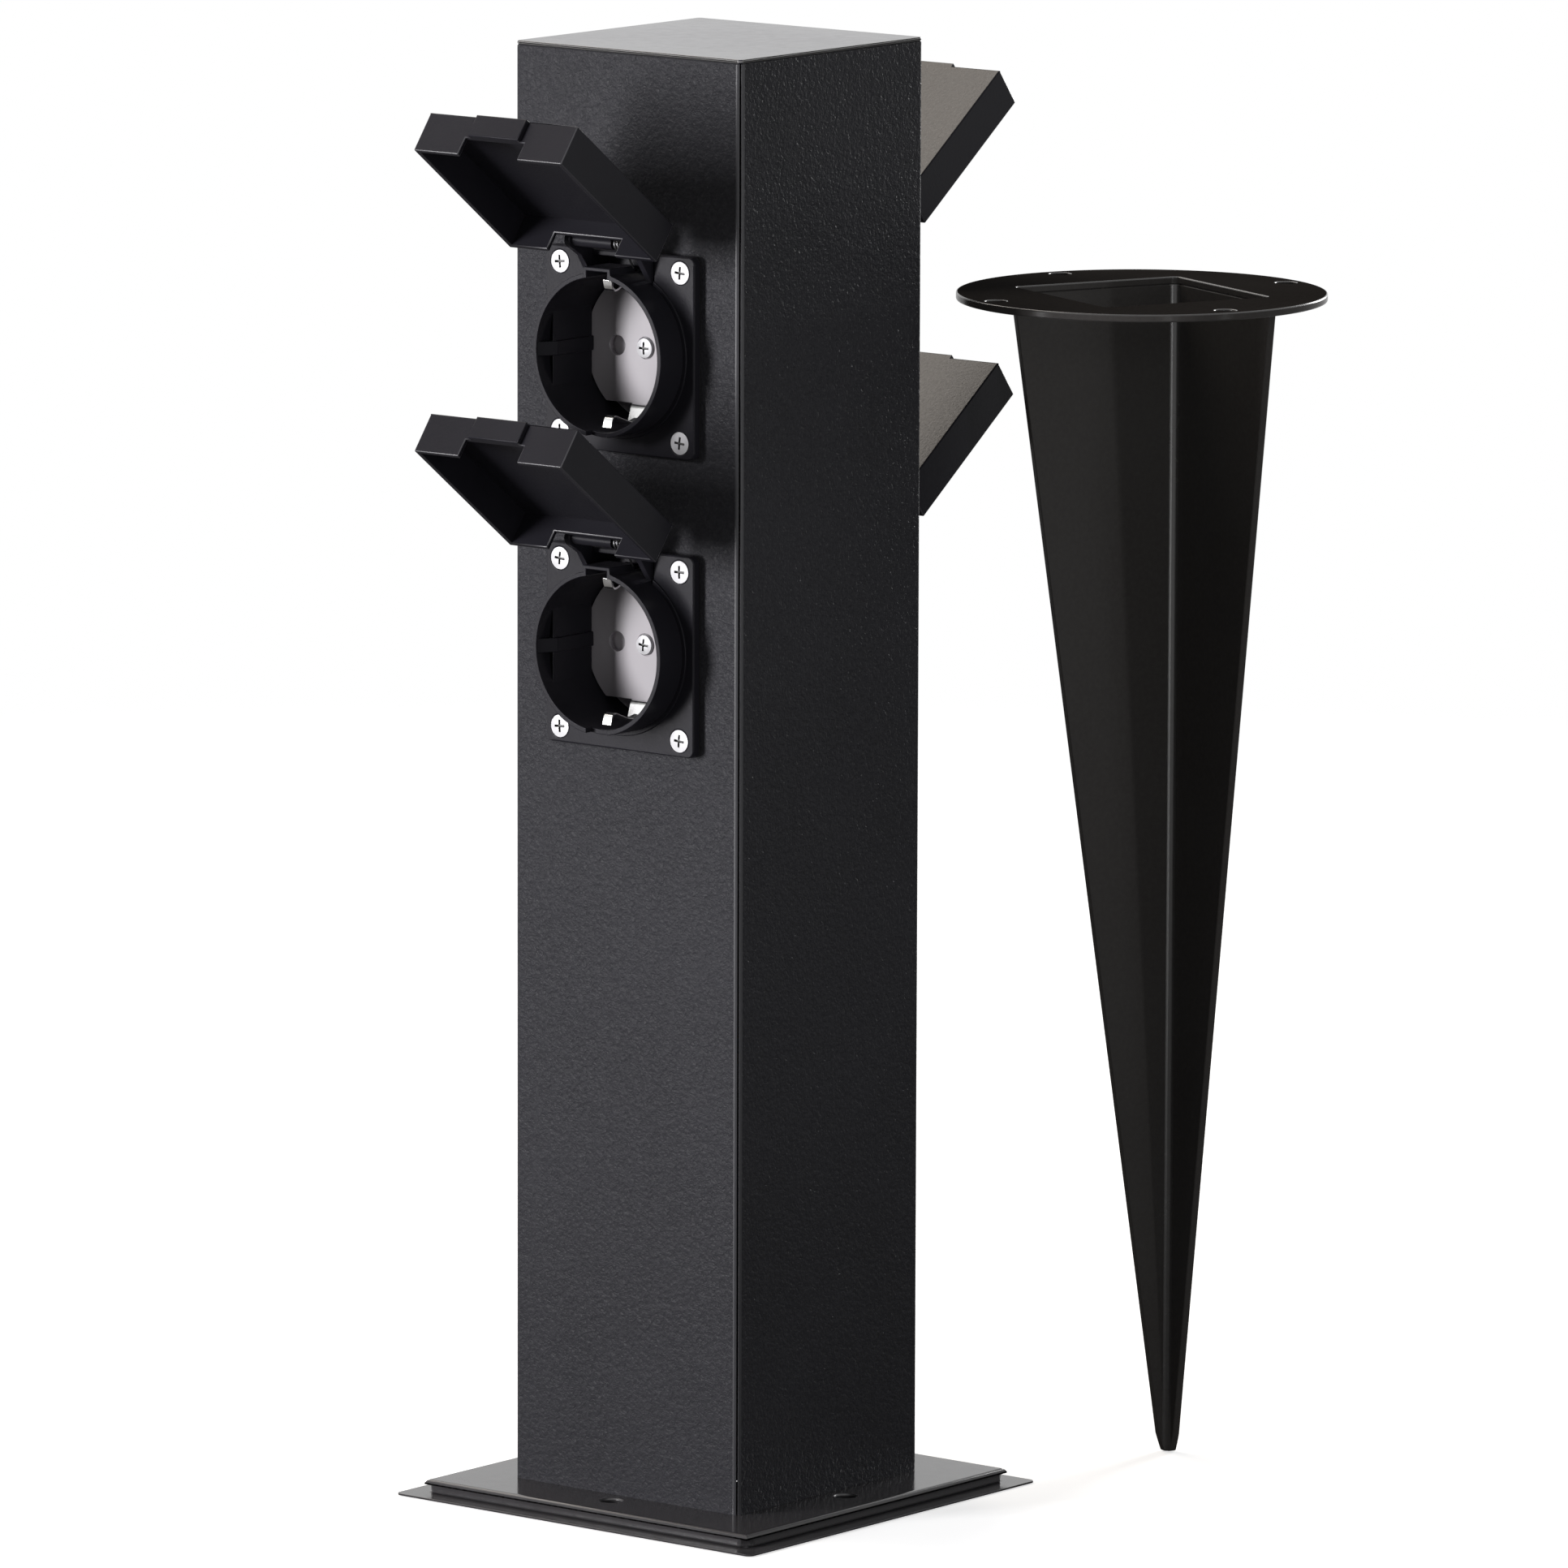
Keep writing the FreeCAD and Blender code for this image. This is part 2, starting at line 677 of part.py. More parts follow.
def coil_direction(angle, slope=1.0):
    """The direction of travel, clockwise round the pin and along +X."""
    rise = slope * coil_pitch / (2 * math.pi * coil_radius)
    return V(rise, -math.sin(angle), -math.cos(angle)).normalize()


def bar_along(edges, radius):
    """A bar with a six-sided section, swept along tangent lines and arcs."""
    start = edges[0].valueAt(edges[0].FirstParameter)
    heading = edges[0].tangentAt(edges[0].FirstParameter)
    across = heading.cross(V(0.3, 0.5, 0.8)).normalize()
    beside = heading.cross(across)
    corners = []
    for index in range(bar_sides):
        angle = 2 * math.pi * index / bar_sides
        corners.append(start + across * (radius * math.cos(angle)) + beside * (radius * math.sin(angle)))
    sweep = Part.BRepOffsetAPI.MakePipeShell(Part.Wire(edges))
    sweep.add(Part.makePolygon(corners + corners[:1]))
    sweep.build()
    sweep.makeSolid()
    return sweep.shape()


def make_spring():
    """A coil on the pin with one leg in the frame's pocket and one on the lid's end wall."""
    anchor_out = flange_front + 0.8
    anchor_up = cup_outer_radius + 0.9
    fixed = tangent_point(anchor_out, anchor_up, coil_radius, -1)
    start_angle = math.atan2(fixed[1] - pivot_up, fixed[0] - pivot)
    end_angle = math.radians(open_angle) - 2 * math.pi * coil_turns
    steps = round((start_angle - end_angle) / (math.pi / 2))
    step = (start_angle - end_angle) / steps
    edges = []
    points = []
    for index in range(steps + 1):
        angle = start_angle - index * step
        x = coil_left + coil_pitch * index * step / (2 * math.pi)
        slope = 0.0 if index in (0, steps) else 1.0
        points.append((coil_point(angle, x), coil_direction(angle, slope)))
    for (start, start_dir), (end, end_dir) in zip(points, points[1:]):
        edges += arc_edges(start, start_dir, end, end_dir)

    first, first_dir = points[0]
    leg_length = math.hypot(fixed[0] - anchor_out, fixed[1] - anchor_up)
    edges.insert(0, Part.LineSegment(first - first_dir * leg_length, first).toShape())

    last, last_dir = points[-1]
    leg_drop = pivot_up - lid_top - wire_radius - spring_gap - 3 * wire_radius
    knee = last + last_dir * leg_drop
    foot_dir = V(0, -math.cos(math.radians(open_angle)), math.sin(math.radians(open_angle)))
    bend = 3 * wire_radius
    toe = knee + last_dir * bend + foot_dir * bend
    edges.append(Part.LineSegment(last, knee).toShape())
    edges += arc_edges(knee, last_dir, toe, foot_dir)
    edges.append(Part.LineSegment(toe, toe + foot_dir * spring_foot).toShape())

    report_gap(edges)
    return bar_along(edges, wire_radius)


def report_gap(edges):
    """Prints the least gap between neighbouring turns, measured on points."""
    points = []
    travelled = 0.0
    for edge in edges:
        count = max(2, int(edge.Length / 0.2))
        for index in range(count):
            share = edge.FirstParameter + (edge.LastParameter - edge.FirstParameter) * index / count
            points.append((travelled + edge.Length * index / count, edge.valueAt(share)))
        travelled += edge.Length
    skip = math.pi * coil_radius
    least = min((a - b).Length for i, (s, a) in enumerate(points) for t, b in points[i + 1:] if t - s > skip)
    print("spring: least gap to itself", round(least - 2 * wire_radius, 3))


# Wiring

def wire_run(corners):
    """A tube along straight runs joined by tangent arcs."""
    edges = []
    here = corners[0]
    for before, corner, after in zip(corners, corners[1:], corners[2:]):
        into = (corner - before).normalize()
        onward = (after - corner).normalize()
        half_turn = into.getAngle(onward) / 2
        reach = wire_bend_radius * math.tan(half_turn)
        start = corner - into * reach
        end = corner + onward * reach
        edges.append(Part.LineSegment(here, start).toShape())
        edges.append(one_arc(start, corner, end))
        here = end
    edges.append(Part.LineSegment(here, corners[-1]).toShape())
    return bar_along(edges, wire_outer_radius)


def make_conductor(x):
    """From the terminal block to the lower sockets, up to the upper pair, and across each pair."""
    inset = housing_back
    entry = column_bottom + block_height
    rise = V(x, block_centre_y, entry)
    low_feed = lower_socket_z - feed_height
    slope_start = entry + 60
    feed = wire_run([rise, V(x, block_centre_y, slope_start), V(x, 0, slope_start + 60), V(x, 0, low_feed),
                     V(x, -inset, low_feed)])
    low_out = lower_socket_z + feed_height
    high_in = upper_socket_z - feed_height
    link = wire_run([V(x, -inset, low_out), V(x, 0, low_out), V(x, 0, high_in), V(x, -inset, high_in)])
    runs = [feed, link]
    for height in (lower_socket_z + cross_height, upper_socket_z + cross_height):
        runs.append(wire_run([V(x, -inset, height), V(x, inset, height)]))
    return Part.makeCompound(runs)


def make_terminal_block():
    half = block_length / 2
    bottom = column_bottom
    block = Part.makeBox(block_length, block_depth, block_height,
                         V(-half, block_centre_y - block_depth / 2, bottom))
    for x in conductor_x.values():
        block = block.cut(terminal_bore(x, terminal_screw_radius + screw_clearance, terminal_well_depth))
    return block


def terminal_bore(x, radius, depth):
    front = -(block_centre_y - block_depth / 2)
    return post(radius, front - depth, front, x, column_bottom + block_height / 2)


def make_terminal_screws():
    screws = []
    inner = -(block_centre_y - block_depth / 2) - terminal_well_depth
    for x in conductor_x.values():
        centre_z = column_bottom + block_height / 2
        screw = post(terminal_screw_radius, inner, inner + terminal_screw_length, x, centre_z)
        front = inner + terminal_screw_length
        slot = box(x - terminal_screw_radius, x + terminal_screw_radius, front - 0.8, front,
                   centre_z - 0.4, centre_z + 0.4)
        screws.append(screw.cut(slot))
    return Part.makeCompound(screws)


save("column_body", make_column())
save("top_cap", make_cap())
save("base_plate", make_plate())
save("base_pan", make_pan())
save("spike_flange", make_spike_flange())
save("spike_body", make_spike_body())
save("terminal_block", make_terminal_block())
save("terminal_screws", make_terminal_screws())
for wire_name, wire_x in conductor_x.items():
    save(wire_name, make_conductor(wire_x))

socket_pieces = {
    "socket_frame": make_frame(),
    "flange_gasket": make_gasket(),
    "insert": make_insert(),
    "shutter": make_shutter(),
    "rear_housing": make_housing(),
    "contacts": make_contacts(),
    "earth_clip": make_earth_clip(),
    "lid": make_lid(),
    "hinge_pin": make_hinge_pin(),
    "lid_spring": make_spring(),
}
flange_screws = []
insert_screws = []
for socket_name, (rear, height) in sockets.items():
    for piece_name, piece in socket_pieces.items():
        save(f"{piece_name}_{socket_name}", place(piece, rear, height))
    insert_screws.append(place(make_insert_screw(), rear, height))
    for x in (-flange_screw_x, flange_screw_x):
        for z in (-flange_screw_z, flange_screw_z):
            flange_screws.append(place(make_flange_screw(x, z), rear, height))
save("flange_screws", Part.makeCompound(flange_screws))
save("insert_screws", Part.makeCompound(insert_screws))
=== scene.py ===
import bpy
import bmesh
import math
from mathutils import Matrix, Vector


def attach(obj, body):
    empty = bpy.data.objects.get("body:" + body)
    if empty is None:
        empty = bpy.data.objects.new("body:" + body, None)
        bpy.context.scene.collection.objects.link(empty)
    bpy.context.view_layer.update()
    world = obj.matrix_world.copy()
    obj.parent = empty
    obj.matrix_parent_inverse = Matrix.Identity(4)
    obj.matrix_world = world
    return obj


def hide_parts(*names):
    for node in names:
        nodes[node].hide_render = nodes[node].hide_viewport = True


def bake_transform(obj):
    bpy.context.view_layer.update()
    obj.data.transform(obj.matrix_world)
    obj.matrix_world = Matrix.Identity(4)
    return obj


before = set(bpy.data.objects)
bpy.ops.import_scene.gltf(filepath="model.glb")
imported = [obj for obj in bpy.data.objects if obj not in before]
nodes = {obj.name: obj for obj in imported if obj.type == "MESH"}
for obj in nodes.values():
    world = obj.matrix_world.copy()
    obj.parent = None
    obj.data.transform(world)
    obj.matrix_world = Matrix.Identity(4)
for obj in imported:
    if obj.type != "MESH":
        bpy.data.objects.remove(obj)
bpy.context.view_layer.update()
scene = bpy.context.scene
mm = 0.001

# where the four sockets sit: turn about the column's axis, and height of the centre
sockets = {
    "front_upper": (0.0, 305.4),
    "front_lower": (0.0, 228.0),
    "rear_upper": (math.pi, 305.4),
    "rear_lower": (math.pi, 228.0),
}
lidOpen = 126.8  # how far the lids stand open, in degrees
print("frame loaded,", len(nodes), "solids")

# "right" and "up" say where the column's foot lies from the middle of the picture, in mm
camera = {"azimuth": 38.86, "pitch": 9.15, "roll": 0.175, "right": -17.8, "up": -185.4, "distance": 3576.0,
          "focal": 16737.0, "frame": 1932.0, "sensor": 36.0, "farthest": 50.0}


def toward(turn, rise):
    # direction at a turn from the front face and a rise over the floor, in degrees
    turn, rise = math.radians(turn), math.radians(rise)
    return Vector((math.sin(turn) * math.cos(rise), -math.cos(turn) * math.cos(rise), math.sin(rise)))


def placeCamera(look):
    turn, roll = math.radians(look["azimuth"]), math.radians(look["roll"])
    back = toward(look["azimuth"], look["pitch"])
    flat = Vector((math.cos(turn), math.sin(turn), 0))
    rise = back.cross(flat)
    right = flat * math.cos(roll) + rise * math.sin(roll)
    up = rise * math.cos(roll) - flat * math.sin(roll)
    data = bpy.data.cameras.new("camera")
    data.sensor_width = look["sensor"]
    data.lens = look["focal"] / look["frame"] * look["sensor"]
    data.clip_end = look["farthest"]
    made = bpy.data.objects.new("camera", data)
    made.matrix_world = Matrix((right, up, back)).transposed().to_4x4()
    made.location = (back * look["distance"] - right * look["right"] - up * look["up"]) * mm
    scene.collection.objects.link(made)
    scene.camera = made


placeCamera(camera)

white = (1.0, 1.0, 1.0)
studio = {
    "ambient": 0.10,
    "aim": (0, 0, 0.19),
    "lamps": {
        "keyStrip": {"turn": -30.0, "rise": 6.0, "away": 2.6, "size": (0.50, 1.5), "power": 84.0,
                     "tint": (1.0, 0.985, 1.0)},
        "fillStrip": {"turn": 56.0, "rise": 1.0, "away": 2.6, "size": (0.08, 1.7), "power": 10.0, "tint": white},
        "edgeStrip": {"turn": 92.0, "rise": 1.0, "away": 2.6, "size": (0.10, 1.7), "power": 6.0, "tint": white},
        "topPanel": {"turn": -95.0, "rise": 51.0, "away": 2.3, "size": (1.4, 1.4), "power": 23.0,
                     "tint": (1.0, 0.91, 0.82)},
        "backPanel": {"turn": 183.0, "rise": 14.0, "away": 2.6, "size": (0.8, 1.2), "power": 42.0, "tint": white},
    },
}


def addLamp(name, look, aim):
    toLamp = toward(look["turn"], look["rise"])
    data = bpy.data.lights.new(name, "AREA")
    data.shape = "RECTANGLE"
    data.size, data.size_y = look["size"]
    data.energy = look["power"]
    data.color = look["tint"]
    lamp = bpy.data.objects.new(name, data)
    lamp.location = Vector(aim) + toLamp * look["away"]
    lamp.rotation_euler = toLamp.to_track_quat("Z", "Y").to_euler()
    scene.collection.objects.link(lamp)


for lampName, look in studio["lamps"].items():
    addLamp(lampName, look, studio["aim"])


class Wire:
    # one output of a node; sums with it add Math nodes
    def __init__(self, tree, socket):
        self.tree = tree
        self.socket = socket

    def sum(self, operation, first, second):
        return self.tree.add("ShaderNodeMath", {"operation": operation}, {0: first, 1: second})

    def __add__(self, other): return self.sum("ADD", self, other)
    def __radd__(self, other): return self.sum("ADD", other, self)
    def __sub__(self, other): return self.sum("SUBTRACT", self, other)
    def __rsub__(self, other): return self.sum("SUBTRACT", other, self)
    def __mul__(self, other): return self.sum("MULTIPLY", self, other)
    def __rmul__(self, other): return self.sum("MULTIPLY", other, self)
    def __truediv__(self, other): return self.sum("DIVIDE", self, other)
    def __rtruediv__(self, other): return self.sum("DIVIDE", other, self)


class Tree:
    # a node tree of a material, the world or a recipe
    def __init__(self, nodeTree):
        self.nodes = nodeTree.nodes
        self.links = nodeTree.links

    def add(self, kind, settings=None, values=None, out=0):
        node = self.nodes.new(kind)
        for key, value in (settings or {}).items():
            setattr(node, key, value)
        for key, value in (values or {}).items():
            self.feed(node.inputs[key], value)
        return node if out is None else Wire(self, node.outputs[out])

    def feed(self, socket, value):
        for one in value if isinstance(value, list) else [value]:
            if isinstance(one, Wire):
                self.links.new(one.socket, socket)
            elif hasattr(one, "__len__") and len(one) == 3 and len(socket.default_value) == 4:
                socket.default_value = (*one, 1.0)
            else:
                socket.default_value = one


class Finish(Tree):
    # a material with a Principled shader, read in Object coordinates
    def __init__(self, name, shader):
        self.material = bpy.data.materials.new(name)
        self.material.use_nodes = True
        super().__init__(self.material.node_tree)
        self.nodes.clear()
        self.place = self.add("ShaderNodeTexCoord", out="Object")
        self.shader = self.add("ShaderNodeBsdfPrincipled", values=shader)
        self.output = self.add("ShaderNodeOutputMaterial", values={"Surface": self.shader}, out=None)

    def give(self, **values):
        for key, value in values.items():
            self.feed(self.shader.socket.node.inputs[key.replace("_", " ")], value)

    def noise(self, scale, detail=2.0, roughness=0.5, stretch=None, distortion=0.0):
        place = self.place
        if stretch:
            place = self.add("ShaderNodeMapping", {"vector_type": "POINT"}, {"Vector": place, "Scale": stretch})
        return self.add("ShaderNodeTexNoise", {"noise_dimensions": "3D"},
                        {"Vector": place, "Scale": scale, "Detail": detail, "Roughness": roughness,
                         "Distortion": distortion})

    def range(self, wire, low=0.3, high=0.7, toLow=0.0, toHigh=1.0):
        return self.add("ShaderNodeMapRange", {"clamp": True},
                        {"Value": wire, "From Min": low, "From Max": high, "To Min": toLow, "To Max": toHigh})

    def mix(self, factor, first, second):
        return self.add("ShaderNodeMix", {"data_type": "RGBA"}, {0: factor, 6: first, 7: second}, out=2)

    def bump(self, height, depth):
        self.give(Normal=self.add("ShaderNodeBump", values={"Height": height, "Distance": depth * mm}))


# in the finishes, scales count per metre and depths are in mm
coatGrain = {"speckScale": 0.31, "pebbleShare": 0.75, "speckShare": 0.25, "tipFrom": 0.35, "tipTo": 0.75,
             "driftShare": 0.5, "roughFrom": 0.35, "roughTo": 0.65}


def powderCoat(name, look):
    # sprayed and baked paint: a pebbled skin, soft drifts of shade and a few specks of dust
    finish = Finish(name, {"Specular IOR Level": look["gloss"], "IOR": 1.5})
    drift = finish.noise(look["driftScale"], detail=3.0)
    pebble = finish.noise(look["grainScale"], roughness=0.55, distortion=0.35)
    speck = finish.noise(look["grainScale"] * coatGrain["speckScale"], roughness=0.6)
    shade = finish.mix(finish.range(drift), look["dark"], look["light"])
    tips = finish.range(pebble, coatGrain["tipFrom"], coatGrain["tipTo"], toHigh=look["grainTint"])
    finish.give(Base_Color=finish.mix(tips, shade, look["tip"]))
    dust = drift * coatGrain["driftShare"] + speck * (1.0 - coatGrain["driftShare"])
    finish.give(Roughness=finish.range(dust, coatGrain["roughFrom"], coatGrain["roughTo"], look["roughLow"],
                                       look["roughHigh"]))
    finish.bump(pebble * coatGrain["pebbleShare"] + speck * coatGrain["speckShare"], look["grainDepth"])
    return finish.material


def mouldedPlastic(name, look):
    # injection moulded: fine spark-eroded skin and faint flow shading
    finish = Finish(name, {"Specular IOR Level": look["gloss"], "IOR": 1.5})
    flow = finish.noise(look["flowScale"], stretch=(1.0, 1.0, 0.35))
    skin = finish.noise(look["skinScale"], detail=3.0, roughness=0.6)
    finish.give(Base_Color=finish.mix(finish.range(flow), look["dark"], look["light"]))
    finish.give(Roughness=finish.range(skin, toLow=look["roughLow"], toHigh=look["roughHigh"]))
    finish.bump(skin, look["skinDepth"])
    return finish.material


def plated(name, look):
    # metal with a rolled grain and a slight haze; what is cut into it can be painted dark, as painted shade
    finish = Finish(name, {"Metallic": look["metallic"], "Specular IOR Level": 0.5})
    haze = finish.noise(look["hazeScale"], detail=3.0)
    grain = finish.noise(look["grainScale"], stretch=look["stretch"])
    shade = finish.mix(finish.range(haze), look["dark"], look["light"])
    # faces marked as recess get a dark colour: painted shade inside the cut
    if "recessShade" in look:
        cut = finish.add("ShaderNodeAttribute", {"attribute_type": "GEOMETRY", "attribute_name": "recess"}, out="Fac")
        shade = finish.mix(cut, shade, look["recessShade"])
    finish.give(Base_Color=shade)
    finish.give(Roughness=finish.range(grain * 0.6 + haze * 0.4, toLow=look["roughLow"], toHigh=look["roughHigh"]))
    finish.bump(grain, look["grainDepth"])
    return finish.material


columnPaint = powderCoat("column_powder_coat", {
    "gloss": 0.035, "dark": (0.032, 0.032, 0.036), "light": (0.037, 0.037, 0.042), "tip": (0.054, 0.054, 0.060),
    "grainTint": 0.6, "driftScale": 22.0, "grainScale": 1000.0, "grainDepth": 0.48,
    "roughLow": 0.24, "roughHigh": 0.32})
# the cap is the column's powder coat; its lighter, bluish colour is a painted reflection of the bright surroundings
capReflectionPaint = powderCoat("cap_painted_reflection_coat", {
    "gloss": 0.16, "dark": (0.052, 0.051, 0.068), "light": (0.058, 0.057, 0.074), "tip": (0.052, 0.052, 0.058),
    "grainTint": 0.3, "driftScale": 22.0, "grainScale": 900.0, "grainDepth": 0.006,
    "roughLow": 0.12, "roughHigh": 0.17})
# glossier paint for the pan's rounded rims; its lighter colour is a painted highlight
rimHighlightPaint = powderCoat("rim_painted_highlight_coat", {
    "gloss": 0.55, "dark": (0.050, 0.049, 0.052), "light": (0.058, 0.057, 0.060), "tip": (0.07, 0.069, 0.073),
    "grainTint": 0.3, "driftScale": 22.0, "grainScale": 900.0, "grainDepth": 0.004,
    "roughLow": 0.34, "roughHigh": 0.44})
# the cap's rounded edge and sides: glossy, and painted much lighter as a painted highlight along the edge
capEdgeHighlightPaint = powderCoat("cap_edge_painted_highlight", {
    "gloss": 0.90, "dark": (0.150, 0.147, 0.146), "light": (0.170, 0.167, 0.166), "tip": (0.18, 0.177, 0.176),
    "grainTint": 0.3, "driftScale": 22.0, "grainScale": 900.0, "grainDepth": 0.004,
    "roughLow": 0.30, "roughHigh": 0.38})
# the two rolls at the column's seam: glossier, with less grain, and painted a little lighter as a painted highlight
lipHighlightPaint = powderCoat("lip_painted_highlight_coat", {
    "gloss": 0.30, "dark": (0.038, 0.038, 0.043), "light": (0.044, 0.044, 0.049), "tip": (0.054, 0.054, 0.060),
    "grainTint": 0.3, "driftScale": 22.0, "grainScale": 1000.0, "grainDepth": 0.02,
    "roughLow": 0.34, "roughHigh": 0.42})
basePaint = powderCoat("base_powder_coat", {
    "gloss": 0.34, "dark": (0.040, 0.038, 0.041), "light": (0.046, 0.044, 0.047), "tip": (0.056, 0.054, 0.057),
    "grainTint": 0.3, "driftScale": 18.0, "grainScale": 700.0, "grainDepth": 0.006,
    "roughLow": 0.12, "roughHigh": 0.19})
# the spike's bend and the disc's rim: glossier, and painted darker than the spike's faces as painted shade
bendShadePaint = powderCoat("bend_painted_shade_coat", {
    "gloss": 0.60, "dark": (0.040, 0.038, 0.037), "light": (0.046, 0.044, 0.043), "tip": (0.06, 0.058, 0.056),
    "grainTint": 0.3, "driftScale": 14.0, "grainScale": 820.0, "grainDepth": 0.01,
    "roughLow": 0.22, "roughHigh": 0.28})
spikePaint = powderCoat("spike_powder_coat", {
    "gloss": 0.05, "dark": (0.054, 0.050, 0.048), "light": (0.062, 0.059, 0.057), "tip": (0.08, 0.077, 0.074),
    "grainTint": 0.3, "driftScale": 14.0, "grainScale": 820.0, "grainDepth": 0.02,
    "roughLow": 0.17, "roughHigh": 0.24})
# the disc's upward faces: the spike's paint, painted darker and without gloss as painted shade
discTopShadePaint = powderCoat("disc_top_painted_shade", {
    "gloss": 0.0, "dark": (0.024, 0.022, 0.021), "light": (0.030, 0.028, 0.027), "tip": (0.04, 0.038, 0.037),
    "grainTint": 0.3, "driftScale": 14.0, "grainScale": 820.0, "grainDepth": 0.02,
    "roughLow": 0.40, "roughHigh": 0.50})
blackPlastic = mouldedPlastic("black_plastic", {
    "gloss": 0.07, "dark": (0.014, 0.0135, 0.0175), "light": (0.018, 0.0175, 0.022), "flowScale": 30.0,
    "skinScale": 1500.0, "skinDepth": 0.02, "roughLow": 0.28, "roughHigh": 0.38})
# the lids' rounded edges: glossier, and painted lighter than the black plastic as a painted highlight
rimHighlightPlastic = mouldedPlastic("rim_painted_highlight_plastic", {
    "gloss": 0.50, "dark": (0.038, 0.037, 0.043), "light": (0.046, 0.045, 0.052), "flowScale": 30.0,
    "skinScale": 1500.0, "skinDepth": 0.008, "roughLow": 0.34, "roughHigh": 0.44})
# the lids' outward faces: the black plastic painted lighter and warm, a painted sheen of the warm lamp above
lidPanelSheenPlastic = mouldedPlastic("lid_panel_plastic", {
    "gloss": 0.25, "dark": (0.026, 0.021, 0.016), "light": (0.033, 0.027, 0.021), "flowScale": 30.0,
    "skinScale": 1300.0, "skinDepth": 0.05, "roughLow": 0.26, "roughHigh": 0.36})
# the shutters: the insert's grey plastic painted about twice as light, painted light against the shade behind the pin
# holes
shutterLitPlastic = mouldedPlastic("shutter_plastic", {
    "gloss": 0.35, "dark": (0.66, 0.63, 0.66), "light": (0.72, 0.69, 0.72), "flowScale": 60.0,
    "skinScale": 2600.0, "skinDepth": 0.006, "roughLow": 0.34, "roughHigh": 0.44})
insertPlastic = mouldedPlastic("insert_plastic", {
    "gloss": 0.35, "dark": (0.335, 0.316, 0.338), "light": (0.385, 0.366, 0.388), "flowScale": 60.0,
    "skinScale": 2600.0, "skinDepth": 0.006, "roughLow": 0.34, "roughHigh": 0.44})
housingPlastic = mouldedPlastic("housing_plastic", {
    "gloss": 0.35, "dark": (0.10, 0.10, 0.105), "light": (0.13, 0.13, 0.135), "flowScale": 50.0,
    "skinScale": 2000.0, "skinDepth": 0.012, "roughLow": 0.45, "roughHigh": 0.58})
blockPlastic = mouldedPlastic("block_plastic", {
    "gloss": 0.35, "dark": (0.52, 0.50, 0.46), "light": (0.58, 0.56, 0.52), "flowScale": 60.0,
    "skinScale": 2000.0, "skinDepth": 0.012, "roughLow": 0.42, "roughHigh": 0.55})
gasketRubber = mouldedPlastic("gasket_rubber", {
    "gloss": 0.15, "dark": (0.010, 0.010, 0.010), "light": (0.016, 0.016, 0.016), "flowScale": 90.0,
    "skinScale": 1500.0, "skinDepth": 0.03, "roughLow": 0.70, "roughHigh": 0.85})
liveSleeve = mouldedPlastic("live_insulation", {
    "gloss": 0.4, "dark": (0.115, 0.045, 0.018), "light": (0.14, 0.058, 0.024), "flowScale": 80.0,
    "skinScale": 1800.0, "skinDepth": 0.006, "roughLow": 0.30, "roughHigh": 0.42})
neutralSleeve = mouldedPlastic("neutral_insulation", {
    "gloss": 0.4, "dark": (0.018, 0.10, 0.38), "light": (0.026, 0.13, 0.45), "flowScale": 80.0,
    "skinScale": 1800.0, "skinDepth": 0.006, "roughLow": 0.30, "roughHigh": 0.42})
# its recess colour is painted shade inside the cross recesses
screwSteel = plated("screw_steel", {
    "metallic": 0.15, "dark": (0.50, 0.50, 0.515), "light": (0.58, 0.58, 0.595), "recessShade": (0.05, 0.05, 0.05),
    "hazeScale": 500.0, "grainScale": 1500.0, "stretch": (1.0, 1.0, 1.0), "grainDepth": 0.004,
    "roughLow": 0.38, "roughHigh": 0.50})
springSteel = plated("spring_steel", {
    "metallic": 1.0, "dark": (0.11, 0.11, 0.115), "light": (0.17, 0.17, 0.175), "hazeScale": 400.0,
    "grainScale": 1800.0, "stretch": (1.0, 1.0, 1.0), "grainDepth": 0.003, "roughLow": 0.26, "roughHigh": 0.36})
pinSteel = plated("pin_steel", {
    "metallic": 0.8, "dark": (0.035, 0.035, 0.037), "light": (0.06, 0.06, 0.062), "hazeScale": 400.0,
    "grainScale": 1800.0, "stretch": (0.4, 1.0, 1.0), "grainDepth": 0.003, "roughLow": 0.34, "roughHigh": 0.46})
clipSteel = plated("clip_steel", {
    "metallic": 1.0, "dark": (0.74, 0.74, 0.74), "light": (0.86, 0.86, 0.85), "hazeScale": 180.0,
    "grainScale": 900.0, "stretch": (3.0, 0.4, 0.4), "grainDepth": 0.003, "roughLow": 0.16, "roughHigh": 0.26})
contactBrass = plated("contact_brass", {
    "metallic": 1.0, "dark": (0.62, 0.43, 0.17), "light": (0.76, 0.55, 0.24), "hazeScale": 160.0,
    "grainScale": 900.0, "stretch": (2.0, 0.5, 2.0), "grainDepth": 0.003, "roughLow": 0.22, "roughHigh": 0.34})


def stripedSleeve(name, look):
    # green with yellow stripes
    finish = Finish(name, {"Specular IOR Level": look["gloss"], "IOR": 1.5})
    wave = finish.add("ShaderNodeTexWave", {"wave_type": "BANDS", "bands_direction": "DIAGONAL"},
                      {"Vector": finish.place, "Scale": look["stripes"], "Distortion": look["waver"]}, out=1)
    skin = finish.noise(look["skinScale"])
    finish.give(Base_Color=finish.mix(finish.range(wave, *look["stripeEdge"]), look["green"], look["yellow"]))
    finish.give(Roughness=finish.range(skin, toLow=look["roughLow"], toHigh=look["roughHigh"]))
    finish.bump(skin, look["skinDepth"])
    return finish.material


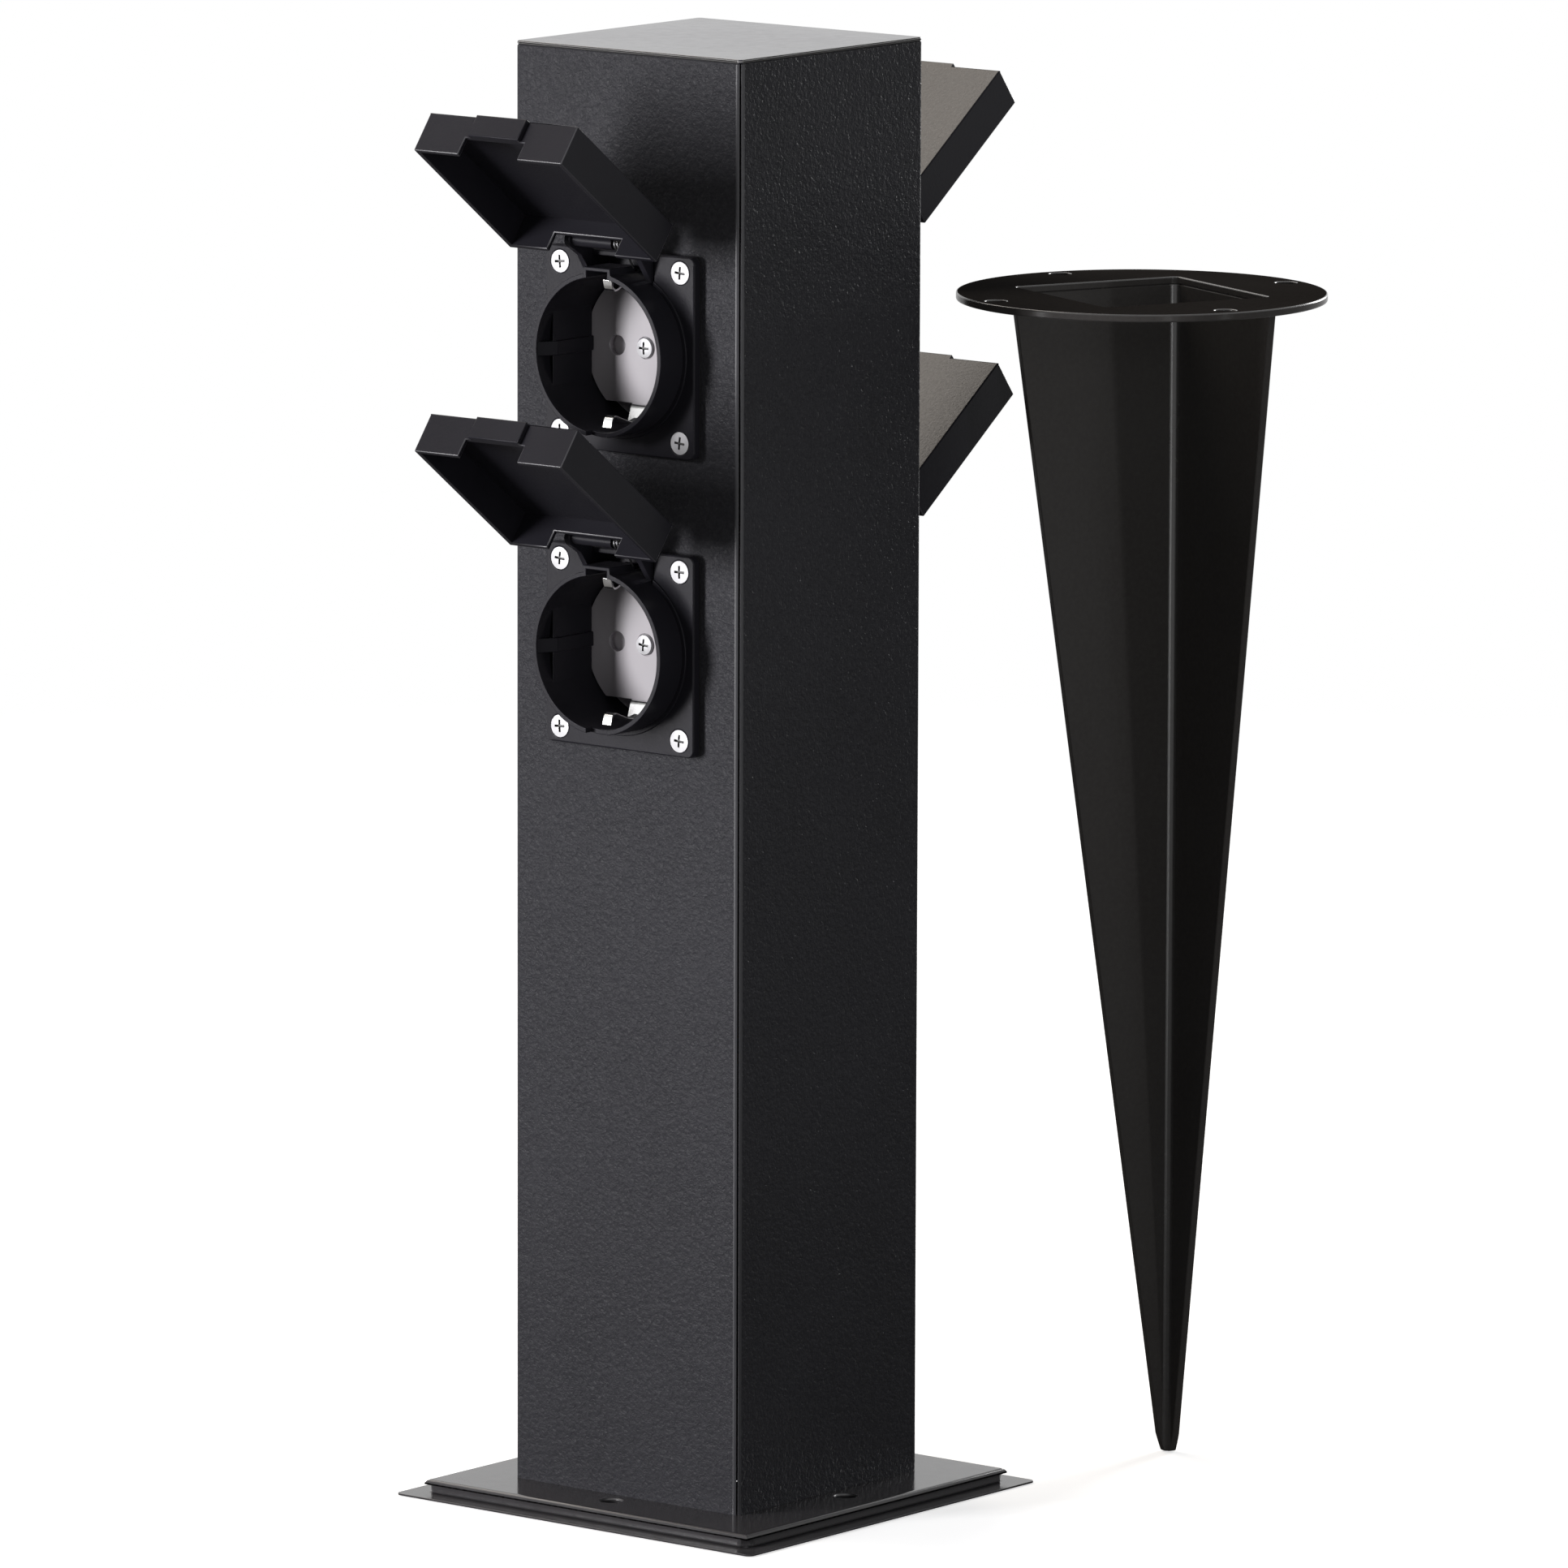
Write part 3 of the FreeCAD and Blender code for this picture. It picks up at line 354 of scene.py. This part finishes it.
earthSleeve = stripedSleeve("earth_insulation", {
    "gloss": 0.4, "green": (0.03, 0.24, 0.05), "yellow": (0.72, 0.56, 0.03), "stripes": 90.0, "waver": 0.4,
    "stripeEdge": (0.62, 0.68), "skinScale": 1800.0, "skinDepth": 0.006, "roughLow": 0.30, "roughHigh": 0.42})

floorLook = {"radius": 1.6, "sides": 96, "drop": 0.0002, "fadeFrom": 0.5, "fadeTo": 1.35, "glow": 0.62,
             "roughness": 0.95, "fibreScale": 60.0, "dark": (0.86, 0.86, 0.86), "light": (0.88, 0.88, 0.88),
             "bounced": (0.20, 0.20, 0.20)}


def floorPaper(look):
    # near white to the camera, duller to bounced light, with the shadow kept; it fades out far away
    finish = Finish("floor_paper", {"Specular IOR Level": 0.0, "Roughness": look["roughness"],
                                    "Emission Strength": look["glow"]})
    path = finish.add("ShaderNodeLightPath", out="Is Camera Ray")
    fibre = finish.noise(look["fibreScale"], detail=4.0)
    seen = finish.mix(finish.range(fibre), look["dark"], look["light"])
    finish.give(Base_Color=finish.mix(path, look["bounced"], seen))
    finish.give(Emission_Color=finish.mix(path, (0.0, 0.0, 0.0), white))
    away = finish.add("ShaderNodeVectorMath", {"operation": "LENGTH"}, {0: finish.place}, out="Value")
    clear = finish.add("ShaderNodeBsdfTransparent")
    faded = finish.add("ShaderNodeMixShader", values={
        0: finish.range(away, look["fadeFrom"], look["fadeTo"]), 1: finish.shader, 2: clear})
    finish.feed(finish.output.inputs["Surface"], faded)
    return finish.material


def layFloor(look):
    shape = bmesh.new()
    bmesh.ops.create_circle(shape, cap_ends=True, segments=look["sides"], radius=look["radius"])
    mesh = bpy.data.meshes.new("studioFloor")
    shape.to_mesh(mesh)
    shape.free()
    mesh.materials.append(floorPaper(look))
    floor = bpy.data.objects.new("studioFloor", mesh)
    floor.location.z = -look["drop"]
    scene.collection.objects.link(floor)


def lightWorld(ambient):
    # white to the camera and in reflections, dim as a source of light
    world = bpy.data.worlds.new("studioWorld")
    scene.world = world
    world.use_nodes = True
    sky = Tree(world.node_tree)
    sky.nodes.clear()
    path = sky.add("ShaderNodeLightPath", out=None).outputs
    rays = [Wire(sky, path[name]) for name in ("Is Camera Ray", "Is Glossy Ray", "Is Transmission Ray")]
    either = sky.add("ShaderNodeMath", {"operation": "MAXIMUM"}, {0: rays[0], 1: rays[1]})
    every = sky.add("ShaderNodeMath", {"operation": "MAXIMUM"}, {0: either, 1: rays[2]})
    level = sky.add("ShaderNodeMapRange", values={"Value": every, "To Min": ambient, "To Max": 1.0})
    glow = sky.add("ShaderNodeBackground", values={"Color": white, "Strength": level})
    sky.add("ShaderNodeOutputWorld", values={"Surface": glow}, out=None)


layFloor(floorLook)
lightWorld(studio["ambient"])
scene.view_settings.view_transform = "Standard"
print("view, light and finishes ready")

# distances in mm and angles in degrees; "facing" is the cosine from which a face counts as looking one way
softening = {"merge": 0.002, "flat": 0.6, "sharp": 32.0, "shortest": 0.25, "smooth": 35.0, "corner": 60.0,
             "segments": 2, "facing": 0.95}


def smoothFaces(mesh, angle):
    for face in mesh.polygons:
        face.use_smooth = True
    mesh.set_sharp_from_angle(angle=math.radians(angle))


def roundEdges(piece, edge, method, rim=-1):
    bevel = piece.modifiers.new("edges", "BEVEL")
    bevel.material = rim  # the slot that the rounded edges are painted from
    bevel.width = edge * mm
    bevel.segments = softening["segments"]
    bevel.limit_method = method
    bevel.angle_limit = math.radians(softening["corner"])
    bevel.harden_normals = True
    bevel.use_clamp_overlap = False
    bevel.loop_slide = False
    level = piece.modifiers.new("flats", "WEIGHTED_NORMAL")
    level.keep_sharp = True


def softened(nodeName, pieceName, body, material, edge, reshape=None, panel=None, rim=None):
    # a merged copy of a solid, with its flat faces joined up and its outer edges rounded
    shape = bmesh.new()
    shape.from_mesh(nodes[nodeName].data)
    bmesh.ops.remove_doubles(shape, verts=shape.verts, dist=softening["merge"] * mm)
    bmesh.ops.dissolve_limit(shape, angle_limit=math.radians(softening["flat"]), verts=shape.verts,
                             edges=shape.edges)
    if reshape:
        for vert in shape.verts:
            vert.co = Vector(reshape(vert.co / mm)) * mm
        shape.normal_update()
    share = shape.edges.layers.float.new("bevel_weight_edge")
    for line in shape.edges:
        sharp = line.is_convex and line.calc_face_angle(0.0) > math.radians(softening["sharp"])
        line[share] = float(sharp and line.calc_length() > softening["shortest"] * mm)
    mesh = bpy.data.meshes.new(pieceName)
    shape.to_mesh(mesh)
    shape.free()
    mesh.materials.clear()
    mesh.materials.append(material)
    for face in mesh.polygons:
        face.material_index = 0
    if panel:
        chosen, panelMaterial = panel
        mesh.materials.append(panelMaterial)
        for face in mesh.polygons:
            face.material_index = int(chosen(face))
    smoothFaces(mesh, softening["smooth"])
    if rim:
        mesh.materials.append(rim)
    piece = bpy.data.objects.new(pieceName, mesh)
    scene.collection.objects.link(piece)
    roundEdges(piece, edge, "WEIGHT", len(mesh.materials) - 1 if rim else -1)
    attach(piece, body)
    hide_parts(nodeName)


# the rolled edges in the solid, and the fuller rolls that take their place
seam = {"corner": 37.5, "oldRadius": 0.45, "oldCentre": (36.06, -37.05), "turn": 135.0, "radius": 1.6,
        "sweep": 38.0, "wall": 0.9, "slack": 0.03, "slackTurn": 2.0, "nearSeam": 70.5, "leastTurn": 0.03}


def fullLips(point):
    # the two edges that meet at the column's seam get a fuller roll, with a finer gap between them
    x, y, z = point
    flip = x + y > 0
    if flip:
        x, y = -y, -x
    centreX, centreY = seam["oldCentre"]
    reach = math.hypot(x - centreX, y - centreY)
    angle = math.degrees(math.atan2(y - centreY, x - centreX)) + 90.0
    inSweep = -seam["slackTurn"] <= angle <= seam["turn"] + seam["slackTurn"]
    if inSweep and reach < seam["oldRadius"] + seam["slack"]:
        part = angle / seam["turn"] * 2.0
        roll = math.radians(seam["sweep"] * min(part, 1.0))
        radius = seam["radius"] - (seam["oldRadius"] - reach)
        middle = seam["corner"] - seam["radius"]
        inward = max(part - 1.0, 0.0) * seam["wall"] * math.sqrt(0.5)
        x = middle + radius * math.sin(roll) - inward
        y = -middle - radius * math.cos(roll) + inward
    return (-y, -x, z) if flip else (x, y, z)


# the faces of the seam's two rolls, which take the lip paint with its painted highlight
def onLips(face):
    outX, outY = face.center.x, -face.center.y
    return outX + outY > seam["nearSeam"] * mm and min(face.normal.x, -face.normal.y) > seam["leastTurn"]


# upward faces; on the spike's disc they take the disc paint with its painted shade
def facesUp(face):
    return face.normal.z > softening["facing"]


# the cap's sideways faces above the column take the edge paint with its painted highlight
capEdge = {"height": 382.2, "steepest": 0.5}


def facesSideways(face):
    return abs(face.normal.z) < capEdge["steepest"] and face.center.z > capEdge["height"] * mm


# the spike's bend: its turn from the front face, the slope of its faces and the smallest of them in square metres
spikeBend = {"from": -20.5, "to": 64.5, "steepest": 0.3, "smallest": 1e-6}


# the bend's faces take the bend paint with its painted shade
def onBend(face):
    turn = math.degrees(math.atan2(face.normal.x, -face.normal.y))
    upright = abs(face.normal.z) < spikeBend["steepest"]
    return upright and spikeBend["from"] < turn < spikeBend["to"] and face.area > spikeBend["smallest"]


# several panel and rim finishes below paint highlights, a reflection or shade into the faces they choose
steelwork = {
    "column_body": {"piece": "columnSheet", "material": columnPaint, "slot": "column_paint", "edge": 0.12,
                    "reshape": fullLips, "panel": (onLips, lipHighlightPaint)},
    "top_cap": {"piece": "capPlate", "material": capReflectionPaint, "slot": "column_paint", "edge": 0.3,
                "panel": (facesSideways, capEdgeHighlightPaint), "rim": capEdgeHighlightPaint},
    "base_pan": {"piece": "basePanSheet", "material": basePaint, "slot": "base_paint", "edge": 0.6,
                 "rim": rimHighlightPaint},
    "base_plate": {"piece": "basePlateSheet", "material": basePaint, "slot": "base_paint", "edge": 0.12},
    "spike_flange": {"piece": "spikeDisc", "material": spikePaint, "slot": "spike_paint", "edge": 0.35,
                     "panel": (facesUp, discTopShadePaint), "rim": bendShadePaint},
    "spike_body": {"piece": "spikeAngle", "material": spikePaint, "slot": "spike_paint", "edge": 0.3,
                   "panel": (onBend, bendShadePaint)},
}
for nodeName, look in steelwork.items():
    softened(nodeName, look["piece"], "column", look["material"], look["edge"], look.get("reshape"),
             look.get("panel"), look.get("rim"))
print("steelwork dressed")


def onColumn(point, label):
    # a socket's own x, outward and up, in mm, brought to its place on the column
    turn, height = sockets[label]
    x, out, up = point
    side = math.cos(turn)
    return Vector((x * side, -out * side, up + height)) * mm


moulding = {"frameEdge": 0.22, "lidEdge": 0.25, "insertEdge": 0.15, "ribX": 17.1, "ribHalf": 1.9,
            "ribFront": 49.3, "ribRamp": 4.7, "slack": 0.1}


def rampRibs(label):
    # the ribs inside the cup start with a lead-in slope
    turn, height = sockets[label]
    side = math.cos(turn)

    def reshape(point):
        x, y, z = point
        slack = moulding["slack"]
        atRib = abs(abs(x) - moulding["ribX"]) < slack and abs(z - height) < moulding["ribHalf"] + slack
        if atRib and -y * side > moulding["ribFront"] - slack:
            y += side * moulding["ribRamp"]
        return (x, y, z)
    return reshape


opened = math.radians(lidOpen)
for label in sockets:
    side = math.cos(sockets[label][0])
    outward = Vector((0.0, -side * math.cos(opened), math.sin(opened)))

    # the open lid's outward faces take the panel plastic with its painted sheen
    def facesOut(face, outward=outward):
        return face.normal.dot(outward) > softening["facing"]

    softened("socket_frame_" + label, "frame_" + label, "column", blackPlastic,
             moulding["frameEdge"], rampRibs(label))
    softened("lid_" + label, "cover_" + label, "lid_" + label, blackPlastic, moulding["lidEdge"],
             panel=(facesOut, lidPanelSheenPlastic), rim=rimHighlightPlastic)
    softened("insert_" + label, "face_" + label, "column", insertPlastic, moulding["insertEdge"])
print("sockets and lids dressed")

# out, up and half width along the middle of the earth clip's sheet; each run is used above and below
clip = {"thickness": 0.6, "edge": 0.1, "smooth": 50.0, "ring": (3.75, 5.2), "ringOut": 20.4, "ringSides": 40,
        "leg": [(20.4, 4.4, 2.0), (20.4, 17.1, 2.0), (20.55, 17.65, 2.0), (20.95, 17.95, 2.0), (21.5, 18.02, 2.0),
                (31.0, 18.02, 2.0), (33.0, 18.5, 1.95), (34.8, 18.85, 1.85), (36.6, 18.8, 1.7), (38.6, 18.3, 1.55),
                (42.3, 16.9, 1.45), (43.1, 16.55, 1.42), (43.8, 16.42, 1.42), (44.4, 16.6, 1.42), (44.8, 17.1, 1.42),
                (45.1, 17.9, 1.42), (45.4, 19.2, 1.42)],
        "apron": [(30.25, 15.0, 3.9), (30.6, 15.02, 3.95), (30.85, 15.3, 4.0), (31.1, 15.9, 4.0),
                  (32.3, 18.9, 3.8), (32.6, 19.35, 3.4)]}


def makeClip(look, label):
    shape = bmesh.new()
    for run in (look["leg"], look["apron"]):
        for way in (1, -1):
            rows = [[shape.verts.new(onColumn((half * end, out, up * way), label)) for end in (-1, 1)]
                    for out, up, half in run]
            for first, second in zip(rows, rows[1:]):
                corners = [first[0], first[1], second[1], second[0]]
                shape.faces.new(corners if way > 0 else corners[::-1])
    inner, outer = look["ring"]
    rings = []
    for radius in (inner, outer):
        turns = [2 * math.pi * step / look["ringSides"] for step in range(look["ringSides"])]
        rings.append([shape.verts.new(onColumn((radius * math.cos(turn), look["ringOut"], radius * math.sin(turn)),
                                               label)) for turn in turns])
    for step in range(look["ringSides"]):
        after = (step + 1) % look["ringSides"]
        shape.faces.new([rings[0][step], rings[0][after], rings[1][after], rings[1][step]])
    mesh = bpy.data.meshes.new("earthStrip_" + label)
    shape.to_mesh(mesh)
    shape.free()
    mesh.materials.append(clipSteel)
    smoothFaces(mesh, look["smooth"])
    piece = bpy.data.objects.new("earthStrip_" + label, mesh)
    scene.collection.objects.link(piece)
    sheet = piece.modifiers.new("sheet", "SOLIDIFY")
    sheet.thickness = look["thickness"] * mm
    sheet.offset = 0.0
    roundEdges(piece, look["edge"], "ANGLE")
    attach(piece, "column")
    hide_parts("earth_clip_" + label)


for label in sockets:
    makeClip(clip, label)
print("earth clips bent")


class Recipe(Tree):
    # a Geometry Nodes tree with named inputs
    def __init__(self, name, inputs):
        self.group = bpy.data.node_groups.new(name, "GeometryNodeTree")
        super().__init__(self.group)
        face = self.group.interface
        face.new_socket("Geometry", in_out="INPUT", socket_type="NodeSocketGeometry")
        self.keys = {}
        for label, kind in inputs.items():
            self.keys[label] = face.new_socket(label, in_out="INPUT", socket_type="NodeSocket" + kind).identifier
        face.new_socket("Geometry", in_out="OUTPUT", socket_type="NodeSocketGeometry")
        self.start = self.nodes.new("NodeGroupInput")
        self.end = self.nodes.new("NodeGroupOutput")

    def given(self, label):
        return Wire(self, self.start.outputs[label])

    def vector(self, x=0.0, y=0.0, z=0.0):
        return self.add("ShaderNodeCombineXYZ", values={"X": x, "Y": y, "Z": z})

    def lifted(self, shape, z):
        return self.add("GeometryNodeTransform", values={"Geometry": shape, "Translation": self.vector(z=z)})

    def close(self, shape):
        real = self.add("GeometryNodeRealizeInstances", values={"Geometry": shape})
        metal = self.add("GeometryNodeSetMaterial", values={"Geometry": real, "Material": self.given("Finish")})
        self.feed(self.end.inputs[0], metal)

    def make(self, name, points, edges, values):
        # runs the tree on a few points and returns its result as a plain mesh object
        seed = bpy.data.meshes.new(name + "Points")
        seed.from_pydata(points, edges, [])
        piece = bpy.data.objects.new(name, seed)
        scene.collection.objects.link(piece)
        modifier = piece.modifiers.new("recipe", "NODES")
        modifier.node_group = self.group
        for label, value in values.items():
            modifier[self.keys[label]] = value
        mesh = bpy.data.meshes.new_from_object(piece.evaluated_get(bpy.context.evaluated_depsgraph_get()))
        piece.modifiers.remove(modifier)
        mesh.name = name
        shape = bmesh.new()
        shape.from_mesh(mesh)
        bmesh.ops.remove_doubles(shape, verts=shape.verts, dist=roundParts["merge"] * mm)
        bmesh.ops.recalc_face_normals(shape, faces=shape.faces)
        shape.to_mesh(mesh)
        shape.free()
        piece.data = mesh
        smoothFaces(mesh, roundParts["smooth"])
        return piece


# the mesh of round parts: shares are of the head's height or the shank's radius
roundParts = {"merge": 0.0005, "smooth": 40.0, "headSides": 40, "domeRings": 5, "topShare": 0.999,
              "coreShare": 0.84, "ridgeShare": 0.16, "shankSides": 20, "threadSteps": 14, "ridgeSides": 5}


def screwRecipe(look):
    # a head with a cross recess on a threaded shank; each faces away from the column's middle
    recipe = Recipe("screws", {"Top Radius": "Float", "Bottom Radius": "Float", "Head Height": "Float",
                               "Dome": "Float", "Recess Length": "Float", "Recess Width": "Float",
                               "Recess Depth": "Float", "Shank Radius": "Float", "Shank Length": "Float",
                               "Thread Pitch": "Float", "Wobble": "Float", "Seed": "Int", "Finish": "Material"})
    height, top = recipe.given("Head Height"), recipe.given("Top Radius")
    head = recipe.add("GeometryNodeMeshCone", {"fill_type": "TRIANGLE_FAN"}, {
        "Vertices": look["headSides"], "Side Segments": 1, "Fill Segments": look["domeRings"], "Radius Top": top,
        "Radius Bottom": recipe.given("Bottom Radius"), "Depth": height})
    place = recipe.add("GeometryNodeInputPosition")
    x, y, z = (recipe.add("ShaderNodeSeparateXYZ", values={"Vector": place}, out=axis) for axis in range(3))
    onTop = recipe.add("FunctionNodeCompare", {"data_type": "FLOAT", "operation": "GREATER_THAN"},
                       {0: z, 1: height * look["topShare"]})
    swell = recipe.given("Dome") * (1 - (x * x + y * y) / (top * top))
    head = recipe.add("GeometryNodeSetPosition", values={
        "Geometry": head, "Selection": onTop, "Offset": recipe.vector(z=swell)})
    length, width, depth = (recipe.given("Recess " + word) for word in ("Length", "Width", "Depth"))
    slots = []
    for across, along in ((length, width), (width, length)):
        cube = recipe.add("GeometryNodeMeshCube", values={"Size": recipe.vector(across, along, depth * 2)})
        # the recess faces are marked so that the screw finish paints shade into them
        cube = recipe.add("GeometryNodeStoreNamedAttribute", {"data_type": "FLOAT", "domain": "FACE"},
                          {"Geometry": cube, "Name": "recess", "Value": 1.0})
        slots.append(recipe.lifted(cube, height + recipe.given("Dome")))
    head = recipe.add("GeometryNodeMeshBoolean", {"operation": "DIFFERENCE", "solver": "EXACT"},
                      {"Mesh 1": head, "Mesh 2": slots})
    radius, reach, pitch = (recipe.given(word) for word in ("Shank Radius", "Shank Length", "Thread Pitch"))
    core = radius * look["coreShare"]
    shank = recipe.add("GeometryNodeMeshCylinder", values={
        "Vertices": look["shankSides"], "Radius": core, "Depth": reach})
    helix = recipe.add("GeometryNodeCurveSpiral", values={
        "Resolution": look["threadSteps"], "Rotations": (reach - pitch * 2) / pitch, "Start Radius": core,
        "End Radius": core, "Height": reach - pitch * 2})
    ridge = recipe.add("GeometryNodeCurvePrimitiveCircle", values={
        "Resolution": look["ridgeSides"], "Radius": radius * look["ridgeShare"]})
    thread = recipe.add("GeometryNodeCurveToMesh", values={
        "Curve": helix, "Profile Curve": ridge, "Fill Caps": True})
    screw = recipe.add("GeometryNodeJoinGeometry", values={"Geometry": [
        head, recipe.lifted(shank, reach * -0.5), recipe.lifted(thread, pitch - reach)]})
    outward = recipe.vector(y=recipe.add("ShaderNodeMath", {"operation": "SIGN"}, {0: y}))
    facing = recipe.add("FunctionNodeAlignRotationToVector", {"axis": "Z", "pivot_axis": "X"}, {"Vector": outward})
    wobble = recipe.given("Wobble")
    spin = recipe.add("FunctionNodeRandomValue", {"data_type": "FLOAT"},
                      {2: wobble * -1.0, 3: wobble, "Seed": recipe.given("Seed")}, out=1)
    screws = recipe.add("GeometryNodeInstanceOnPoints", values={
        "Points": recipe.given("Geometry"), "Instance": screw, "Rotation": facing})
    recipe.close(recipe.add("GeometryNodeRotateInstances", values={
        "Instances": screws, "Rotation": recipe.vector(z=spin)}))
    return recipe


screwHeads = {
    "flange_screws": {"seat": 39.1, "spots": [(-20, -22), (20, -22), (-20, 22), (20, 22)], "Top Radius": 2.93,
                      "Bottom Radius": 1.5, "Head Height": 1.42, "Dome": 0.12, "Recess Length": 3.3,
                      "Recess Width": 0.62, "Recess Depth": 0.85, "Shank Radius": 1.5, "Shank Length": 7.4,
                      "Thread Pitch": 0.7, "Wobble": 7.0, "Seed": 4},
    "insert_screws": {"seat": 29.5, "spots": [(0, 0)], "Top Radius": 2.5, "Bottom Radius": 2.8,
                      "Head Height": 1.1, "Dome": 0.3, "Recess Length": 3.2, "Recess Width": 0.6,
                      "Recess Depth": 0.9, "Shank Radius": 1.5, "Shank Length": 15.6, "Thread Pitch": 0.7,
                      "Wobble": 5.0, "Seed": 9},
}

screws = screwRecipe(roundParts)
for nodeName, look in screwHeads.items():
    points = [onColumn((x, look["seat"], z), label) for label in sockets for x, z in look["spots"]]
    values = {}
    for label, value in look.items():
        if label in ("seat", "spots"):
            continue
        values[label] = value if label == "Seed" else math.radians(value) if label == "Wobble" else value * mm
    values["Finish"] = screwSteel
    piece = screws.make(nodeName.replace("_", "") + "Detailed", points, [], values)
    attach(piece, "column")
    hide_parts(nodeName)
print("screws made")


def barRecipe():
    # a round bar along each run of points
    recipe = Recipe("roundBar", {"Radius": "Float", "Sides": "Int", "Finish": "Material"})
    line = recipe.add("GeometryNodeMeshToCurve", values={"Mesh": recipe.given("Geometry")})
    ring = recipe.add("GeometryNodeCurvePrimitiveCircle", values={
        "Resolution": recipe.given("Sides"), "Radius": recipe.given("Radius")})
    bar = recipe.add("GeometryNodeCurveToMesh", values={"Curve": line, "Profile Curve": ring, "Fill Caps": True})
    recipe.close(bar)
    return recipe


bars = barRecipe()


def roundBar(name, runs, radius, sides, material):
    points = [point for run in runs for point in run]
    edges, first = [], 0
    for run in runs:
        edges += [(first + i, first + i + 1) for i in range(len(run) - 1)]
        first += len(run)
    return bars.make(name, points, edges, {"Radius": radius * mm, "Sides": sides, "Finish": material})


spring = {"pivotOut": 47.7, "pivotUp": 29.1, "coil": 1.75, "wire": 0.275, "pitch": 1.05, "turns": 3, "left": 5.2,
          "width": 3.15, "anchor": (41.3, 22.3), "lidTop": 24.55, "gap": 0.35, "foot": 2.2, "sides": 10,
          "perTurn": 36, "kneeSteps": 6}


def springRun(look):
    # from the leg in the frame's pocket, round the pin, to the foot on the lid's end wall
    pivotOut, pivotUp, coil, wire = (look[key] for key in ("pivotOut", "pivotUp", "coil", "wire"))
    anchorOut, anchorUp = look["anchor"]
    reach = math.hypot(pivotOut - anchorOut, pivotUp - anchorUp)
    startAngle = math.atan2(anchorUp - pivotUp, anchorOut - pivotOut) - math.acos(coil / reach)
    endAngle = opened - 2 * math.pi * look["turns"]
    run = [(look["left"], anchorOut, anchorUp)]
    steps = round((startAngle - endAngle) / (2 * math.pi) * look["perTurn"])
    for step in range(steps + 1):
        angle = startAngle + (endAngle - startAngle) * step / steps
        x = look["left"] + look["pitch"] * (startAngle - angle) / (2 * math.pi)
        run.append((x, pivotOut + coil * math.cos(angle), pivotUp + coil * math.sin(angle)))
    x, out, up = run[-1]
    ahead = (math.sin(endAngle), -math.cos(endAngle))
    toe = (math.cos(opened), math.sin(opened))
    bend = 3 * wire
    drop = pivotUp - look["lidTop"] - wire - look["gap"] - bend
    kneeOut, kneeUp = out + ahead[0] * drop, up + ahead[1] * drop
    for step in range(look["kneeSteps"] + 1):
        angle = math.pi / 2 * step / look["kneeSteps"]
        forward, sideways = bend * math.sin(angle), bend * (1 - math.cos(angle))
        run.append((x, kneeOut + ahead[0] * forward + toe[0] * sideways,
                    kneeUp + ahead[1] * forward + toe[1] * sideways))
    x, out, up = run[-1]
    run.append((x, out + toe[0] * look["foot"], up + toe[1] * look["foot"]))
    return run


for label in sockets:
    run = [onColumn(point, label) for point in springRun(spring)]
    piece = roundBar("spring_" + label, [run], spring["wire"], spring["sides"], springSteel)
    first = onColumn((spring["left"], spring["pivotOut"], spring["pivotUp"]), label)
    last = onColumn((spring["left"] + spring["width"], spring["pivotOut"], spring["pivotUp"]), label)
    "lid_" + label
    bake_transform(piece)
    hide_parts("lid_spring_" + label)
print("springs made")

wiring = {"radius": 1.2, "bend": 6.0, "housing": 9.0, "feed": 10.0, "cross": -3.4, "blockOut": 20.5,
          "entry": 22.0, "upright": 60.0, "climb": 120.0, "sides": 14, "perBend": 7,
          "cores": {"neutral_wire": (-9.5, neutralSleeve, "neutral_insulation"),
                    "earth_wire": (0.0, earthSleeve, "earth_insulation"),
                    "live_wire": (9.5, liveSleeve, "live_insulation")}}


def roundedRun(corners, bend, steps):
    # straight runs with their corners turned into arcs
    corners = [Vector(corner) for corner in corners]
    run = [corners[0]]
    for before, corner, after in zip(corners, corners[1:], corners[2:]):
        into, onward = (corner - before).normalized(), (after - corner).normalized()
        turn = into.angle(onward)
        reach = bend * math.tan(turn / 2)
        start = corner - into * reach
        inward = (onward - into * into.dot(onward)).normalized()
        for step in range(steps + 1):
            angle = turn * step / steps
            run.append(start + into * (bend * math.sin(angle)) + inward * (bend * (1 - math.cos(angle))))
    run.append(corners[-1])
    return [point * mm for point in run]


upper, lower = sockets["front_upper"][1], sockets["front_lower"][1]
for nodeName, (x, material, slotName) in wiring["cores"].items():
    back, out, entry, feed = (wiring[key] for key in ("housing", "blockOut", "entry", "feed"))
    runs = [[(x, out, entry), (x, out, entry + wiring["upright"]), (x, 0, entry + wiring["climb"]),
             (x, 0, lower - feed), (x, -back, lower - feed)],
            [(x, -back, lower + feed), (x, 0, lower + feed), (x, 0, upper - feed), (x, -back, upper - feed)]]
    runs += [[(x, -back, height + wiring["cross"]), (x, back, height + wiring["cross"])] for height in (lower, upper)]
    runs = [roundedRun(run, wiring["bend"], wiring["perBend"]) for run in runs]
    piece = roundBar(slotName.split("_")[0] + "Core", runs, wiring["radius"], wiring["sides"], material)
    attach(piece, "column")
    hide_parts(nodeName)
print("wires made")

# solids that stay as they are, with their finishes
plainFinishes = {"terminal_block": blockPlastic, "terminal_screws": screwSteel}
for label in sockets:
    plainFinishes["flange_gasket_" + label] = gasketRubber
    # the shutters' finish is painted lighter against the shade behind the pin holes
    plainFinishes["shutter_" + label] = shutterLitPlastic
    plainFinishes["rear_housing_" + label] = housingPlastic
    plainFinishes["contacts_" + label] = contactBrass
    plainFinishes["hinge_pin_" + label] = pinSteel
for nodeName, material in plainFinishes.items():
    for place in nodes[nodeName].material_slots:
        place.material = material
print("other solids finished")
